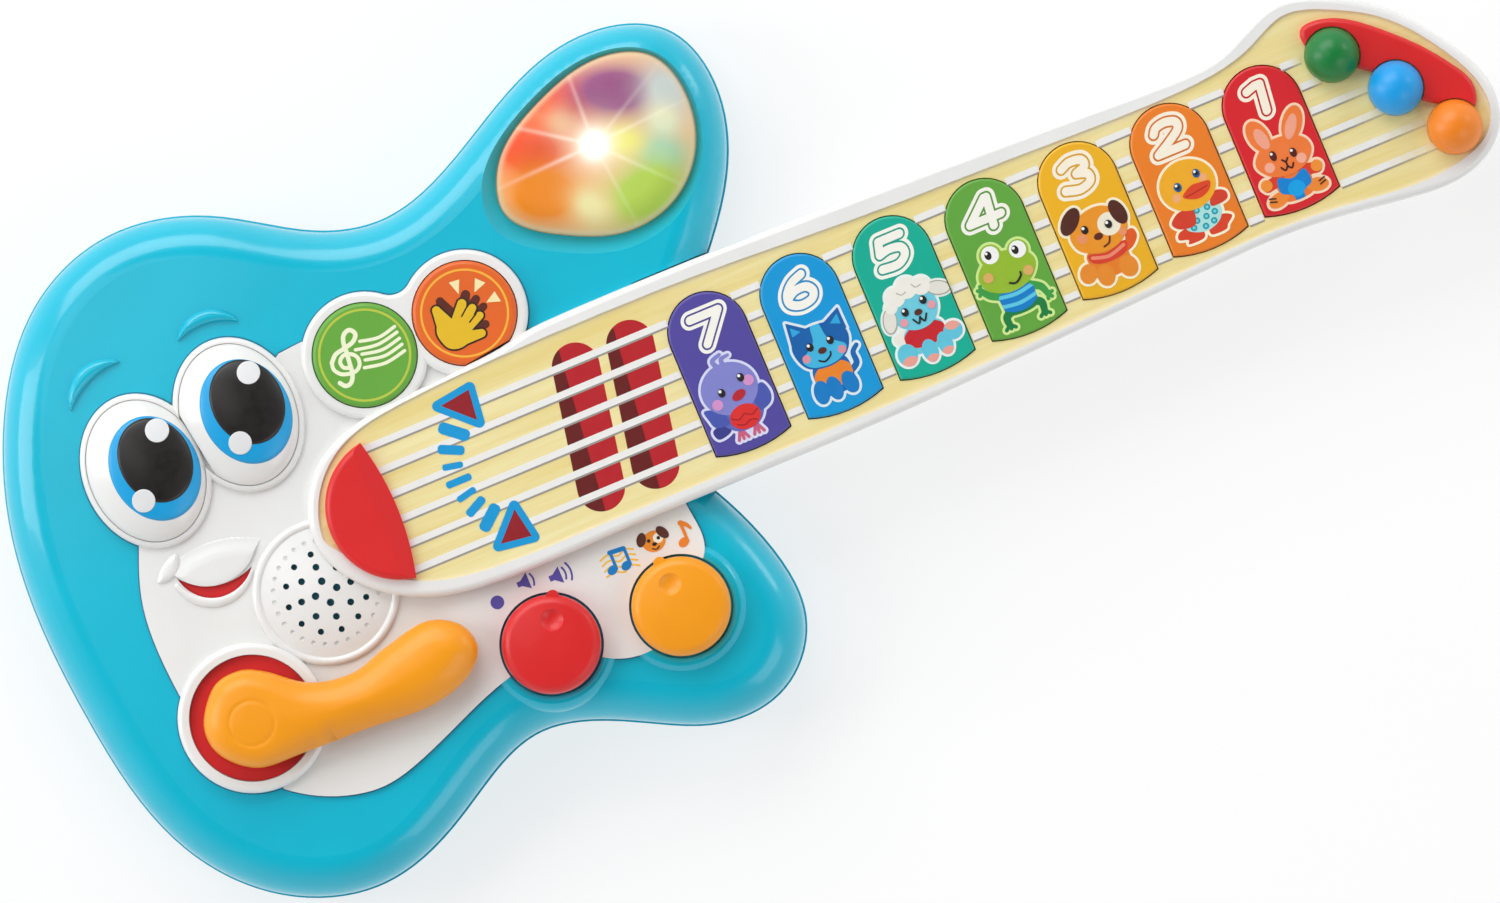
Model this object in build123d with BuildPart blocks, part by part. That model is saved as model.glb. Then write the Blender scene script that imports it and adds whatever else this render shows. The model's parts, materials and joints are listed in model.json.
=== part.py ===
"""Toy electric guitar for toddlers: a hollow body with a face, a neck with seven piano keys, and a headstock.

The guitar lies on its flat back. +X runs along the neck to the headstock, +Y goes across the body towards
the lamp horn, and +Z points out of the face. The origin is under the middle of the guitar, at its back.
All sizes are in millimetres.
"""

from math import cos, radians, sin
import os

from build123d import *

os.makedirs("parts", exist_ok=True)

STANDING = (Align.CENTER, Align.CENTER, Align.MIN)
HANGING = (Align.CENTER, Align.CENTER, Align.MAX)

# ---------------------------------------------------------------- heights above the back
PARTING_Z = 14.0          # where the two body shells meet
FRONT_Z = 32.0            # flat top of the blue front shell
PLATE_Z = 33.4            # top of the white face plate that lies on it
POD_Z = 35.4              # top of the raised rims round the buttons and the lever
NECK_BACK_Z = 9.0         # underside of the neck
TONGUE_Z = 14.3           # underside of the neck where it lies inside the body
NECK_PARTING_Z = 24.0     # where the neck's frame meets its tray
DECK_BOTTOM_Z = 33.4      # deck of the neck frame, which carries the yellow panel
DECK_Z = 35.2
PANEL_Z = 37.2            # top of the yellow panel
NECK_TOP_Z = 38.0         # top of the white rim round the panel
KEY_FLANGE_Z = 31.6       # the keys' flanges catch under the deck
BUTTON_SKIRT_Z = 27.6     # lower edge of the round buttons
KNOB_STEM_Z = 18.3        # lower end of the knobs' stems
KNOB_WELL_Z = 30.4        # floor of the knobs' wells

WALL = 2.2
BACK_FLOOR = 2.4
TOP_WALL = 2.4
SHELL_STEP = 0.6          # the front shell sits this far inside the back shell's rim
BACK_EDGE_RADIUS = 6.0
FRONT_EDGE_RADIUS = 11.0
GAP = 0.3                 # between pieces that move past each other
POST_HOLE_RADIUS = 1.0
BOARD_HOLE_RADIUS = 1.2
STEM_CLEARANCE = 0.06     # round a stem that turns in its bearing

# ---------------------------------------------------------------- outlines
BODY_POINTS = [
    (-27, -32), (-17.5, -56.5), (-17.5, -75.5), (-30.5, -90.3), (-50.5, -92.2), (-70.5, -83.5), (-97.5, -75.4),
    (-125.5, -88.2), (-153.5, -97.4), (-179, -90), (-199, -69), (-211, -25), (-211, 31), (-200, 62.5),
    (-179.5, 87.7), (-154.5, 97), (-124.5, 90.3), (-99.5, 75.6), (-82, 72.2), (-64.5, 77), (-39.5, 90.3),
    (-14, 97.9), (10.5, 89.4), (16.3, 71), (11, 49.5), (-3, 29.5), (-17, 12), (-26, -10),
]
NECK_POINTS = [
    (-80, 25.5), (-100, 24.3), (-113, 22.2), (-125, 16.3), (-132, 7), (-134.1, -2.6), (-131, -13),
    (-122, -22.9), (-110, -29.4), (-95, -32.2), (-60, -32.5), (-10, -32.4), (20, -32.3), (80, -30), (120, -28.3),
    (150, -27.8), (180, -31.3), (198.7, -31.1), (209.8, -23.9), (213, -11.9), (205, 6.2), (195, 18.7), (180, 28.8),
    (167, 32.4), (157, 29.5), (148, 25.5), (130, 24), (100, 25.2), (30, 27.8), (-3, 28.8), (-30, 29),
    (-50, 28.8), (-58.5, 28.2), (-67, 26.6),
]
PANEL_POINTS = [
    (-131.6, -2.6), (-128, 8.3), (-122, 15.3), (-113, 20.3), (-100, 22.8), (-70, 24.5), (-40, 24.8),
    (-10, 24.4), (20, 22.9), (50, 21.5), (80, 20.8), (110, 19.9), (130, 19.8), (146, 21.1), (156, 24), (167, 28.3),
    (180, 24.8), (192, 17.6), (204, 3.2), (209.5, -8), (210, -17.5), (206.6, -23.2), (198.7, -27), (186, -28.6),
    (165, -26.7), (148, -25.5), (130, -25.4), (110, -26.5), (60, -28.4), (20, -28.9), (-60, -28.9),
    (-90, -28.4), (-105, -26.3), (-115.5, -21.7), (-123.4, -14.7), (-129, -7.7),
]
LAMP_POINTS = [
    (-51.2, 64.5), (-45.6, 75.8), (-30.5, 85.2), (-10.5, 89.9), (2.9, 84.8), (7.4, 71.5), (3.3, 55.5),
    (-7.8, 45.5), (-21.8, 43.1), (-37.8, 48.7),
]
CRESCENT_POINTS = [
    (169.4, 19.5), (170.6, 23.2), (174.5, 23.7), (185, 19.3), (192, 13.3), (199, 6.2), (205.4, -2.4),
    (208.3, -10.5), (205.8, -15.5), (199.5, -12), (193.2, -7.4), (188.9, -0.2), (181, 6.8), (174, 13.5),
]
LEVER_POINTS = [
    (-160.3, -30.5), (-150.3, -38), (-138.4, -40.2), (-127.3, -37.2), (-114.3, -34.8), (-105.5, -39.5),
    (-103.9, -47.5), (-110.5, -53.9), (-122.5, -56.9), (-140.5, -55.9), (-158.5, -55.3), (-172, -54.4),
    (-180.6, -47), (-181.6, -38), (-175, -29.1), (-167, -27.6),
]

# ---------------------------------------------------------------- places on the face
EYE_LEFT = (-169.4, 32.9)
EYE_RIGHT = (-139.9, 37.4)
EYE_LOBE_RADII = (17.5, 21.9)
EYE_DOME_RADII = (16.0, 20.2)
EYE_LOBE_Z = 35.2
EYE_DOME_RISE = 7.0
EYE_SEAM = [(-155.9, 50), (-151.6, 21.5)]     # line along which the two domes meet
MUSIC_BUTTON = (-101.6, 39.2)
CLAP_BUTTON = (-71.8, 39.3)
POD_RADIUS = 17.5
BUTTON_RADIUS = 14.4
BUTTON_WELL_RADIUS = 14.65
CLAP_FLAT_Y = 26.7                            # the clap button is cut flat beside the neck
CLAP_FLAT_TURN = 7.0                          # the flat follows the neck's edge
LEVER_PIVOT = (-168.4, -41.1)
LEVER_POD_RADIUS = 20.7
LEVER_DISH_RADIUS = 17.3
LEVER_HANDLE_Z = 36.9
LEVER_HANDLE_HEIGHT = 8.9
LEVER_STEM_RADIUS = 4.0
LEVER_STEM_Z = 24.5
LEVER_SCREW_RADIUS = 1.1
RETAINER_THICKNESS = 2.2
VOLUME_KNOB = (-84.75, -53.95)
MODE_KNOB = (-47.8, -58.0)
KNOB_RADIUS = 13.7
KNOB_WELL_RADIUS = 14.4
KNOB_TOP_Z = 42.0
KNOB_COLLAR_RADIUS = 17.5
KNOB_STEM_RADIUS = 3.0
SPEAKER = (-136.4, -16.8)
GRILLE_RADIUS = 18.0
GRILLE_RING_RADIUS = 20.3
GRILLE_HOLES = [(3.15, 4, 1.05), (7.3, 8, 0.95), (11.1, 12, 0.85)]   # ring radius, count, hole radius
GRILLE_SEAM_ANGLE = 15.0                      # turns the dome so that its seam runs between the holes

# ---------------------------------------------------------------- lamp
LIP_WIDTH = 3.6           # the lamp lies in a bevel that is widest at its lower left
LIP_SHIFT = (-1.4, -1.2)
LIP_LOW_Z = 28.4
LAMP_BASE_Z = 24.0
LAMP_HEIGHT = 13.0
LAMP_EDGE_RADIUS = 8.0
REFLECTOR_Z = 18.3

# ---------------------------------------------------------------- neck
KEY_WIDTH = 22.0
KEY_PITCH = 27.43
KEY_7_X = -12.0
KEY_TOPS = [18.6, 18.7, 18.7, 19.2, 19.5, 19.7, 19.8]            # keys 1 to 7
KEY_BOTTOMS = [-20.8, -21.3, -22.6, -23.5, -23.7, -23.8, -23.7]  # corners; the middle is 2 lower
KEY_SAG = 2.0
BALL_RADIUS = 7.6
BALL_Z = 39.0
BALL_FLOOR_Z = 35.6                           # the balls are cut flat just above the deck
TUNER_STEM_RADIUS = 2.0
TUNER_CLIP_RADIUS = 4.2
TUNER_CLIP_Z = 31.4
TUNER_CLIP_THICKNESS = 1.6
BRIDGE_HEIGHT = 3.6
BRIDGE_TILT = 21.0
CRESCENT_HEIGHT = 2.6
BALLS = {"green": (175.5, 13.1), "blue": (188.2, -2.0), "orange": (199.1, -18.1)}
NOTCH_X = -26.3                               # the neck starts to go down into the body here
NOTCH_LOW_Y = -32.7
NOTCH_HIGH_Y = 29.3
TONGUE_END_X = -52.0                          # end of the bolted tongue inside the body

# ---------------------------------------------------------------- fasteners
BODY_SCREWS = [
    (-198, 0), (-188, 58), (-190, -62), (-150, 85), (-150, -85), (-96, 64.5), (-110, -69), (-62, 68),
    (-42, -82), (-25, -62), (-9, 37),
]
TONGUE_SCREWS = [(-46.5, -14.6), (-46.5, 10.6), (-34, -14.6), (-34, 10.6)]
NECK_SCREWS = [(1.7, 20), (56.6, 19.5), (111.5, 18.2), (170, -17), (186.5, 14.5), (188, -22)]
SCREW_RADIUS = 1.5
SCREW_HEAD_RADIUS = 2.8
SCREW_BOSS_RADIUS = 4.0
NECK_SCREW_RADIUS = 1.1
NECK_SCREW_HEAD_RADIUS = 2.3
NECK_BOSS_RADIUS = 3.4

# ---------------------------------------------------------------- electronics
BATTERY_CENTRE = (-137.0, 27.0)
CELL_RADIUS = 7.2
CELL_LENGTH = 49.2
CELL_PITCH = 15.2
CELL_AXIS_Z = 9.9
BATTERY_BAY = (56.0, 46.6, 17.5)              # length, width and height inside
BATTERY_DOOR = (68.0, 52.0, 2.0)
DOOR_SCREW = (-105.6, 27.0)
MAIN_BOARD = (-65.0, -53.0)
MAIN_BOARD_SIZE = (64.0, 32.0)
MAIN_BOARD_Z = 16.0
MAIN_BOARD_POSTS = [(-94, -41), (-36, -41), (-94, -65.5), (-36, -65.5)]
BOARD_THICKNESS = 1.6
KEY_BOARD_Z = 20.4
KEY_PAD_Z = 22.0
BUTTON_BOARD_Z = 20.6
BUTTON_BOARD_POSTS = [(-116.5, 53), (-57, 53.5), (-116.5, 25.6), (-57, 25.2)]
LAMP_BOARD_Z = 15.5
LAMP_BOARD_POSTS = [(-36, 62), (-3, 76), (-8, 56)]
KEY_BOARD_POSTS = [(1.7, -4), (56.6, -4), (111.5, -4), (160.2, -4)]
LEDS = [(-30, 60), (-22, 72), (-12, 80), (-14, 62), (-2, 66)]


def closed_outline(points, growth=0.0):
    """A smooth closed outline through the points, moved outwards by growth, or inwards if it is negative."""
    if growth:
        curve = Edge.make_spline([Vector(*point) for point in points], periodic=True)
        turn = sum(x0 * y1 - x1 * y0 for (x0, y0), (x1, y1) in zip(points, points[1:] + points[:1]))
        outwards = -90 if turn > 0 else 90
        steps = [step / (3 * len(points)) for step in range(3 * len(points))]
        points = [curve @ step + (curve % step).rotate(Axis.Z, outwards) * growth for step in steps]
    with BuildSketch() as outline:
        with BuildLine():
            Spline(*points, periodic=True)
        make_face()
    return outline.sketch


def key_outline(number, grow=0.0):
    """A piano key: an arch at the top, straight sides, and a shallow arc at the bottom."""
    middle = key_x(number)
    half = KEY_WIDTH / 2 + grow
    spring_y = KEY_TOPS[number - 1] - KEY_WIDTH / 2
    low_y = KEY_BOTTOMS[number - 1] - grow
    with BuildSketch() as outline:
        with BuildLine():
            Line((middle - half, low_y), (middle - half, spring_y))
            ThreePointArc((middle - half, spring_y), (middle, spring_y + half), (middle + half, spring_y))
            Line((middle + half, spring_y), (middle + half, low_y))
            ThreePointArc((middle + half, low_y), (middle, low_y - KEY_SAG), (middle - half, low_y))
        make_face()
    return outline.sketch


def key_x(number):
    """Middle of a key along the neck; key 7 is next to the body."""
    return KEY_7_X + (7 - number) * KEY_PITCH


def crescent(start, outer, end, inner):
    """A moon-shaped outline between two arcs that share their ends."""
    with BuildSketch() as outline:
        with BuildLine():
            ThreePointArc(start, outer, end)
            ThreePointArc(end, inner, start)
        make_face()
    return outline.sketch


body_outline = closed_outline(BODY_POINTS)
front_outline = closed_outline(BODY_POINTS, -SHELL_STEP)
front_inner = closed_outline(BODY_POINTS, -SHELL_STEP - WALL)
back_inner = closed_outline(BODY_POINTS, -WALL)
neck_outline = closed_outline(NECK_POINTS)
neck_inner = closed_outline(NECK_POINTS, -WALL)
panel_outline = closed_outline(PANEL_POINTS)
lamp_opening = closed_outline(LAMP_POINTS, 0.3)
lamp_collar = closed_outline(LAMP_POINTS, 2.6)
lamp_lip = closed_outline([(x + LIP_SHIFT[0], y + LIP_SHIFT[1]) for x, y in LAMP_POINTS], LIP_WIDTH)
lever_outline = closed_outline(LEVER_POINTS)
key_outlines = {number: key_outline(number) for number in range(1, 8)}
key_holes = {number: key_outline(number, GAP) for number in range(1, 8)}
key_flanges = {number: key_outline(number, 1.0) for number in range(1, 8)}

with BuildSketch() as pods_outline:
    for centre in (MUSIC_BUTTON, CLAP_BUTTON):
        with Locations(centre):
            Circle(POD_RADIUS)
    saddle = pods_outline.vertices().sort_by(Axis.Y)[-1]
    fillet(saddle, radius=6)

with BuildSketch() as eye_lobes:
    for centre in (EYE_LEFT, EYE_RIGHT):
        with Locations(centre):
            Ellipse(*EYE_LOBE_RADII)

with BuildSketch() as plate_outline:
    with BuildLine():
        cheek = Spline((-176, 22), (-179.2, 14.5), (-184.1, 0.7), (-185.4, -17.3), (-184.6, -28))
        Line(cheek @ 1, LEVER_PIVOT)
        Line(LEVER_PIVOT, (-168, -62.4))
        chin = Spline((-168, -62.4), (-160.5, -67.5), (-150.6, -71.3), (-142.6, -72.3), (-130.5, -69.7),
                      (-115.5, -63.8), (-100.3, -58.3))
        Line(chin @ 1, VOLUME_KNOB)
        Line(VOLUME_KNOB, (-73.2, -62.6))
        bridge_edge = Spline((-73.2, -62.6), (-66.5, -65.6), (-59.3, -66))
        Line(bridge_edge @ 1, MODE_KNOB)
        Line(MODE_KNOB, (-36.9, -47.8))
        corner = Spline((-36.9, -47.8), (-35, -43), (-35.1, -38), (-35.8, -32))
        Polyline(corner @ 1, (-35.8, -20), (-60, 20), CLAP_BUTTON, MUSIC_BUTTON, (-116.2, 49.3),
                 (-123.4, 48.7), EYE_RIGHT, EYE_LEFT, cheek @ 0)
    make_face()
    add(pods_outline.sketch)
    add(eye_lobes.sketch)
    with Locations(LEVER_PIVOT):
        Circle(LEVER_POD_RADIUS)
    add(neck_outline, mode=Mode.SUBTRACT)

# ================================================================ body shells
with BuildPart() as back_cavity:
    with BuildSketch(Plane.XY.offset(BACK_FLOOR)):
        add(back_inner)
    extrude(amount=PARTING_Z - BACK_FLOOR)
    fillet(back_cavity.faces().sort_by(Axis.Z)[0].edges(), radius=BACK_EDGE_RADIUS - WALL)
    with Locations(*[(x, y, 0) for x, y in BODY_SCREWS + TONGUE_SCREWS]):
        Cylinder(SCREW_BOSS_RADIUS, PARTING_Z, align=STANDING, mode=Mode.SUBTRACT)
    with Locations((*BATTERY_CENTRE, 0)):
        Box(BATTERY_DOOR[0] + 4, BATTERY_DOOR[1] + 4, 5, align=STANDING, mode=Mode.SUBTRACT)
        Box(BATTERY_BAY[0] + 3.6, BATTERY_BAY[1] + 3.6, PARTING_Z, align=STANDING, mode=Mode.SUBTRACT)

with BuildPart() as body_back_shell:
    with BuildSketch():
        add(body_outline)
    extrude(amount=PARTING_Z)
    fillet(body_back_shell.faces().sort_by(Axis.Z)[0].edges(), radius=BACK_EDGE_RADIUS)
    add(back_cavity.part, mode=Mode.SUBTRACT)
    with Locations((*BATTERY_CENTRE, PARTING_Z)):
        Box(BATTERY_BAY[0] + 3.6, BATTERY_BAY[1] + 3.6, BATTERY_BAY[2] + 1.8 - PARTING_Z, align=STANDING)
    with Locations((*BATTERY_CENTRE, 0)):
        Box(*BATTERY_BAY, align=STANDING, mode=Mode.SUBTRACT)
        Box(BATTERY_DOOR[0] + 2 * GAP, BATTERY_DOOR[1] + 2 * GAP, BATTERY_DOOR[2] + 0.2, align=STANDING,
            mode=Mode.SUBTRACT)
    with Locations(*[(x, y, 0) for x, y in BODY_SCREWS + TONGUE_SCREWS]):
        Cylinder(SCREW_RADIUS + 0.2, PARTING_Z, align=STANDING, mode=Mode.SUBTRACT)
        Cylinder(SCREW_HEAD_RADIUS + 0.4, 6, align=STANDING, mode=Mode.SUBTRACT)
    # posts that carry the main board and the lamp board
    for posts, underside in ((MAIN_BOARD_POSTS, MAIN_BOARD_Z), (LAMP_BOARD_POSTS, LAMP_BOARD_Z)):
        with Locations(*[(x, y, 2) for x, y in posts]):
            Cylinder(2.6, underside - 2, align=STANDING)
        with Locations(*[(x, y, underside - 5) for x, y in posts]):
            Cylinder(POST_HOLE_RADIUS, 5, align=STANDING, mode=Mode.SUBTRACT)
    # post for the battery door's screw
    with Locations((*DOOR_SCREW, BATTERY_DOOR[2] + 0.2)):
        Cylinder(3, 8, align=STANDING)
        Cylinder(1.2, 7, align=STANDING, mode=Mode.SUBTRACT)
body_back_shell.part.label = "body_back_shell"
export_step(body_back_shell.part, "parts/body_back_shell.step")

with BuildPart() as front_cavity:
    with BuildSketch(Plane.XY.offset(PARTING_Z)):
        add(front_inner)
    extrude(amount=FRONT_Z - TOP_WALL - PARTING_Z)
    fillet(front_cavity.faces().sort_by(Axis.Z)[-1].edges(), radius=FRONT_EDGE_RADIUS - WALL)
    with Locations(((NOTCH_X + 30) / 2 - WALL / 2, (NOTCH_LOW_Y + NOTCH_HIGH_Y) / 2, PARTING_Z)):
        Box(30 - NOTCH_X + WALL, NOTCH_HIGH_Y - NOTCH_LOW_Y + 2 * WALL, FRONT_Z, align=STANDING,
            mode=Mode.SUBTRACT)
    with Locations(*[(x, y, PARTING_Z) for x, y in BODY_SCREWS]):
        Cylinder(SCREW_BOSS_RADIUS, FRONT_Z, align=STANDING, mode=Mode.SUBTRACT)
    with BuildSketch(Plane.XY.offset(25.8)):
        add(lamp_collar)
    extrude(amount=8, mode=Mode.SUBTRACT)
    with Locations(*[(*centre, 28.2) for centre in (VOLUME_KNOB, MODE_KNOB)]):
        Cylinder(KNOB_WELL_RADIUS + 2, 6, align=STANDING, mode=Mode.SUBTRACT)

with BuildPart() as knob_collar:
    with BuildSketch(Plane.XZ):
        with BuildLine():
            Polyline((KNOB_WELL_RADIUS - 1, KNOB_WELL_Z), (KNOB_WELL_RADIUS - 1, 33), (KNOB_WELL_RADIUS, 33))
            lip = ThreePointArc((KNOB_WELL_RADIUS, 33), (KNOB_WELL_RADIUS + 0.9, 33.3),
                                (KNOB_WELL_RADIUS + 2, 33.2))
            slope = Spline(lip @ 1, (KNOB_COLLAR_RADIUS, 32.4), (KNOB_COLLAR_RADIUS + 1.4, 29.4))
            Polyline(slope @ 1, (KNOB_COLLAR_RADIUS + 1.4, 28.6), (KNOB_WELL_RADIUS - 1, 28.6),
                     (KNOB_WELL_RADIUS - 1, KNOB_WELL_Z))
        make_face()
    revolve(axis=Axis.Z)

with BuildPart() as body_front_shell:
    with BuildSketch(Plane.XY.offset(PARTING_Z)):
        add(front_outline)
    extrude(amount=FRONT_Z - PARTING_Z)
    fillet(body_front_shell.faces().sort_by(Axis.Z)[-1].edges(), radius=FRONT_EDGE_RADIUS)
    with Locations(*[(*centre, 0) for centre in (VOLUME_KNOB, MODE_KNOB)]):
        add(knob_collar.part)
    with BuildSketch(Plane.XY.offset(FRONT_Z)):
        add(plate_outline.sketch)
    extrude(amount=4, mode=Mode.SUBTRACT)
    add(front_cavity.part, mode=Mode.SUBTRACT)
    # the neck's notch, and the window that its tongue goes through
    with Locations(((NOTCH_X + 30) / 2, (NOTCH_LOW_Y + NOTCH_HIGH_Y) / 2, 0)):
        Box(30 - NOTCH_X, NOTCH_HIGH_Y - NOTCH_LOW_Y, 50, align=STANDING, mode=Mode.SUBTRACT)
    with Locations((NOTCH_X - 1, -2, PARTING_Z)):
        Box(10, 37.0, NECK_PARTING_Z + 0.1 - PARTING_Z, align=STANDING, mode=Mode.SUBTRACT)
    # eyebrows
    with BuildSketch(Plane.XY.offset(FRONT_Z - 0.5)):
        add(crescent((-182, 56.4), (-174.7, 65.5), (-164.9, 63.6), (-174.3, 61.9)))
        add(crescent((-147.4, 62.8), (-139.5, 67.5), (-130.4, 61.5), (-139.1, 64.2)))
    extrude(amount=1.4)
    # lamp opening with a sloped lip
    with BuildSketch(Plane.XY.offset(LAMP_BASE_Z)):
        add(lamp_opening)
    extrude(amount=12, mode=Mode.SUBTRACT)
    with BuildSketch(Plane.XY.offset(LIP_LOW_Z)):
        add(lamp_opening)
    with BuildSketch(Plane.XY.offset(FRONT_Z + 0.2)):
        add(lamp_lip)
    loft(mode=Mode.SUBTRACT)
    # wells and openings
    for centre in (VOLUME_KNOB, MODE_KNOB):
        with Locations((*centre, KNOB_WELL_Z)):
            Cylinder(KNOB_WELL_RADIUS, 6, align=STANDING, mode=Mode.SUBTRACT)
        with Locations((*centre, 20)):
            Cylinder(KNOB_STEM_RADIUS + 1, 12, align=STANDING, mode=Mode.SUBTRACT)
    with Locations((*SPEAKER, 28)):
        Cylinder(GRILLE_RADIUS - 1.4, 6, align=STANDING, mode=Mode.SUBTRACT)
    with Locations((*LEVER_PIVOT, 28)):
        Cylinder(LEVER_STEM_RADIUS + GAP, 6, align=STANDING, mode=Mode.SUBTRACT)
    with Locations((-95, 0, 28)):
        Box(6, 20, 6, align=STANDING, mode=Mode.SUBTRACT)
    with BuildSketch(Plane.XY.offset(28)):
        with Locations(MUSIC_BUTTON):
            Circle(BUTTON_WELL_RADIUS)
        with Locations(CLAP_BUTTON):
            Circle(BUTTON_WELL_RADIUS)
            with Locations((0, CLAP_FLAT_Y - GAP - CLAP_BUTTON[1])):
                Rectangle(40, 10, rotation=CLAP_FLAT_TURN, align=(Align.CENTER, Align.MAX),
                          mode=Mode.SUBTRACT)
    extrude(amount=6, mode=Mode.SUBTRACT)
    # ring that centres the speaker
    with Locations((*SPEAKER, 26.5)):
        Cylinder(GRILLE_RADIUS + 1, 3.2, align=STANDING)
        Cylinder(GRILLE_RADIUS - 0.4, 3.1, align=STANDING, mode=Mode.SUBTRACT)
    # screw holes, and posts that hang the button board
    with Locations(*[(x, y, PARTING_Z) for x, y in BODY_SCREWS]):
        Cylinder(SCREW_RADIUS, 11, align=STANDING, mode=Mode.SUBTRACT)
    with Locations(*[(x, y, BUTTON_BOARD_Z + BOARD_THICKNESS) for x, y in BUTTON_BOARD_POSTS]):
        Cylinder(2.4, FRONT_Z - TOP_WALL + 0.1 - BUTTON_BOARD_Z - BOARD_THICKNESS, align=STANDING)
        Cylinder(POST_HOLE_RADIUS, 5, align=STANDING, mode=Mode.SUBTRACT)
body_front_shell.part.label = "body_front_shell"
export_step(body_front_shell.part, "parts/body_front_shell.step")

# ================================================================ face plate and eyes
with BuildPart() as button_pods:
    with BuildSketch(Plane.XY.offset(FRONT_Z)):
        add(pods_outline.sketch)
    extrude(amount=POD_Z - FRONT_Z)
    fillet(button_pods.faces().sort_by(Axis.Z)[-1].edges(), radius=1.4)

with BuildPart() as lever_pod:
    with Locations((*LEVER_PIVOT, FRONT_Z)):
        Cylinder(LEVER_POD_RADIUS, POD_Z + 1 - FRONT_Z, align=STANDING)
    fillet(lever_pod.faces().sort_by(Axis.Z)[-1].edges(), radius=1.6)
    with Locations((*LEVER_PIVOT, PLATE_Z)):
        Cylinder(LEVER_DISH_RADIUS + 0.2, 5, align=STANDING, mode=Mode.SUBTRACT)

eye_rims = []
for centre in (EYE_LEFT, EYE_RIGHT):
    with BuildPart() as eye_rim:
        with BuildSketch(Plane.XY.offset(FRONT_Z)):
            with Locations(centre):
                Ellipse(*EYE_LOBE_RADII)
        extrude(amount=EYE_LOBE_Z - FRONT_Z)
        fillet(eye_rim.faces().sort_by(Axis.Z)[-1].edges(), radius=1.4)
    eye_rims.append(eye_rim.part)

with BuildPart() as grille_dome:
    with BuildSketch(Plane.XZ):
        with BuildLine():
            Polyline((16.4, FRONT_Z), (GRILLE_RING_RADIUS, FRONT_Z), (GRILLE_RING_RADIUS, PLATE_Z))
            ThreePointArc((GRILLE_RING_RADIUS, PLATE_Z), (19.2, PLATE_Z + 1.3), (18.1, PLATE_Z + 0.7))
            TangentArc((0, PLATE_Z + 3.1), (18.1, PLATE_Z + 0.7), tangent=(1, 0))
            Line((0, PLATE_Z + 3.1), (0, PLATE_Z + 1.7))
            TangentArc((0, PLATE_Z + 1.7), (16.4, PLATE_Z - 0.5), tangent=(1, 0))
            Line((16.4, PLATE_Z - 0.5), (16.4, FRONT_Z))
        make_face()
    revolve(axis=Axis.Z)

with BuildPart() as grille:
    with Locations(Location((0, 0, 0), (0, 0, GRILLE_SEAM_ANGLE))):
        add(grille_dome.part)
    for ring_radius, count, hole_radius in GRILLE_HOLES:
        with PolarLocations(ring_radius, count):
            Cylinder(hole_radius, 90, mode=Mode.SUBTRACT)
    with Locations((0, 0, PLATE_Z + 1.15)):
        with PolarLocations(14.5, 28, start_angle=2.15):
            Cylinder(0.65, 3, align=STANDING, mode=Mode.SUBTRACT)

with BuildPart() as face_plate:
    with BuildSketch(Plane.XY.offset(FRONT_Z)):
        add(plate_outline.sketch)
        with Locations(VOLUME_KNOB, MODE_KNOB):
            Circle(KNOB_WELL_RADIUS, mode=Mode.SUBTRACT)
        with Locations(SPEAKER):
            Circle(GRILLE_RING_RADIUS - 0.3, mode=Mode.SUBTRACT)
    extrude(amount=PLATE_Z - FRONT_Z)
    add(button_pods.part)
    add(lever_pod.part)
    for eye_rim in eye_rims:
        add(eye_rim)
    with Locations((*SPEAKER, 0)):
        add(grille.part)
    with BuildSketch(Plane.XY.offset(FRONT_Z - 1)):
        add(neck_outline)
    extrude(amount=10, mode=Mode.SUBTRACT)
    with BuildSketch(Plane.XY.offset(PLATE_Z)):
        for centre in (EYE_LEFT, EYE_RIGHT):
            with Locations(centre):
                Ellipse(*EYE_DOME_RADII)
    extrude(amount=5, mode=Mode.SUBTRACT)
    with Locations(*[(*centre, FRONT_Z - 1) for centre in (MUSIC_BUTTON, CLAP_BUTTON)]):
        Cylinder(BUTTON_WELL_RADIUS, 10, align=STANDING, mode=Mode.SUBTRACT)
    with Locations((*LEVER_PIVOT, FRONT_Z - 1)):
        Cylinder(LEVER_STEM_RADIUS + GAP, 5, align=STANDING, mode=Mode.SUBTRACT)
    # mouth: a sunk smile between two raised lips, and a dimple in the cheek
    with BuildSketch(Plane.XY.offset(PLATE_Z)):
        add(crescent((-172.6, 2.6), (-162.4, 4.6), (-150.4, 1.2), (-162.6, -3.7)))
        add(crescent((-173.6, 0.4), (-163.6, -8.9), (-153.4, -3.6), (-163.8, -7.0)))
        add(crescent((-177.6, 3.4), (-173.6, 7.2), (-171.0, 8.2), (-172.6, 4.4)))
    extrude(amount=0.8)
    with BuildSketch(Plane.XY.offset(PLATE_Z)):
        add(crescent((-172.9, 2.4), (-163.8, -7.0), (-152.6, -2.4), (-162.6, -3.7)))
    extrude(amount=-0.7, mode=Mode.SUBTRACT)
face_plate.part.label = "face_plate"
export_step(face_plate.part, "parts/face_plate.step")

with BuildPart() as eye_cap:
    Sphere(1)
    scale(by=(*EYE_DOME_RADII, EYE_DOME_RISE))
    split(bisect_by=Plane.XY)

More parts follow.
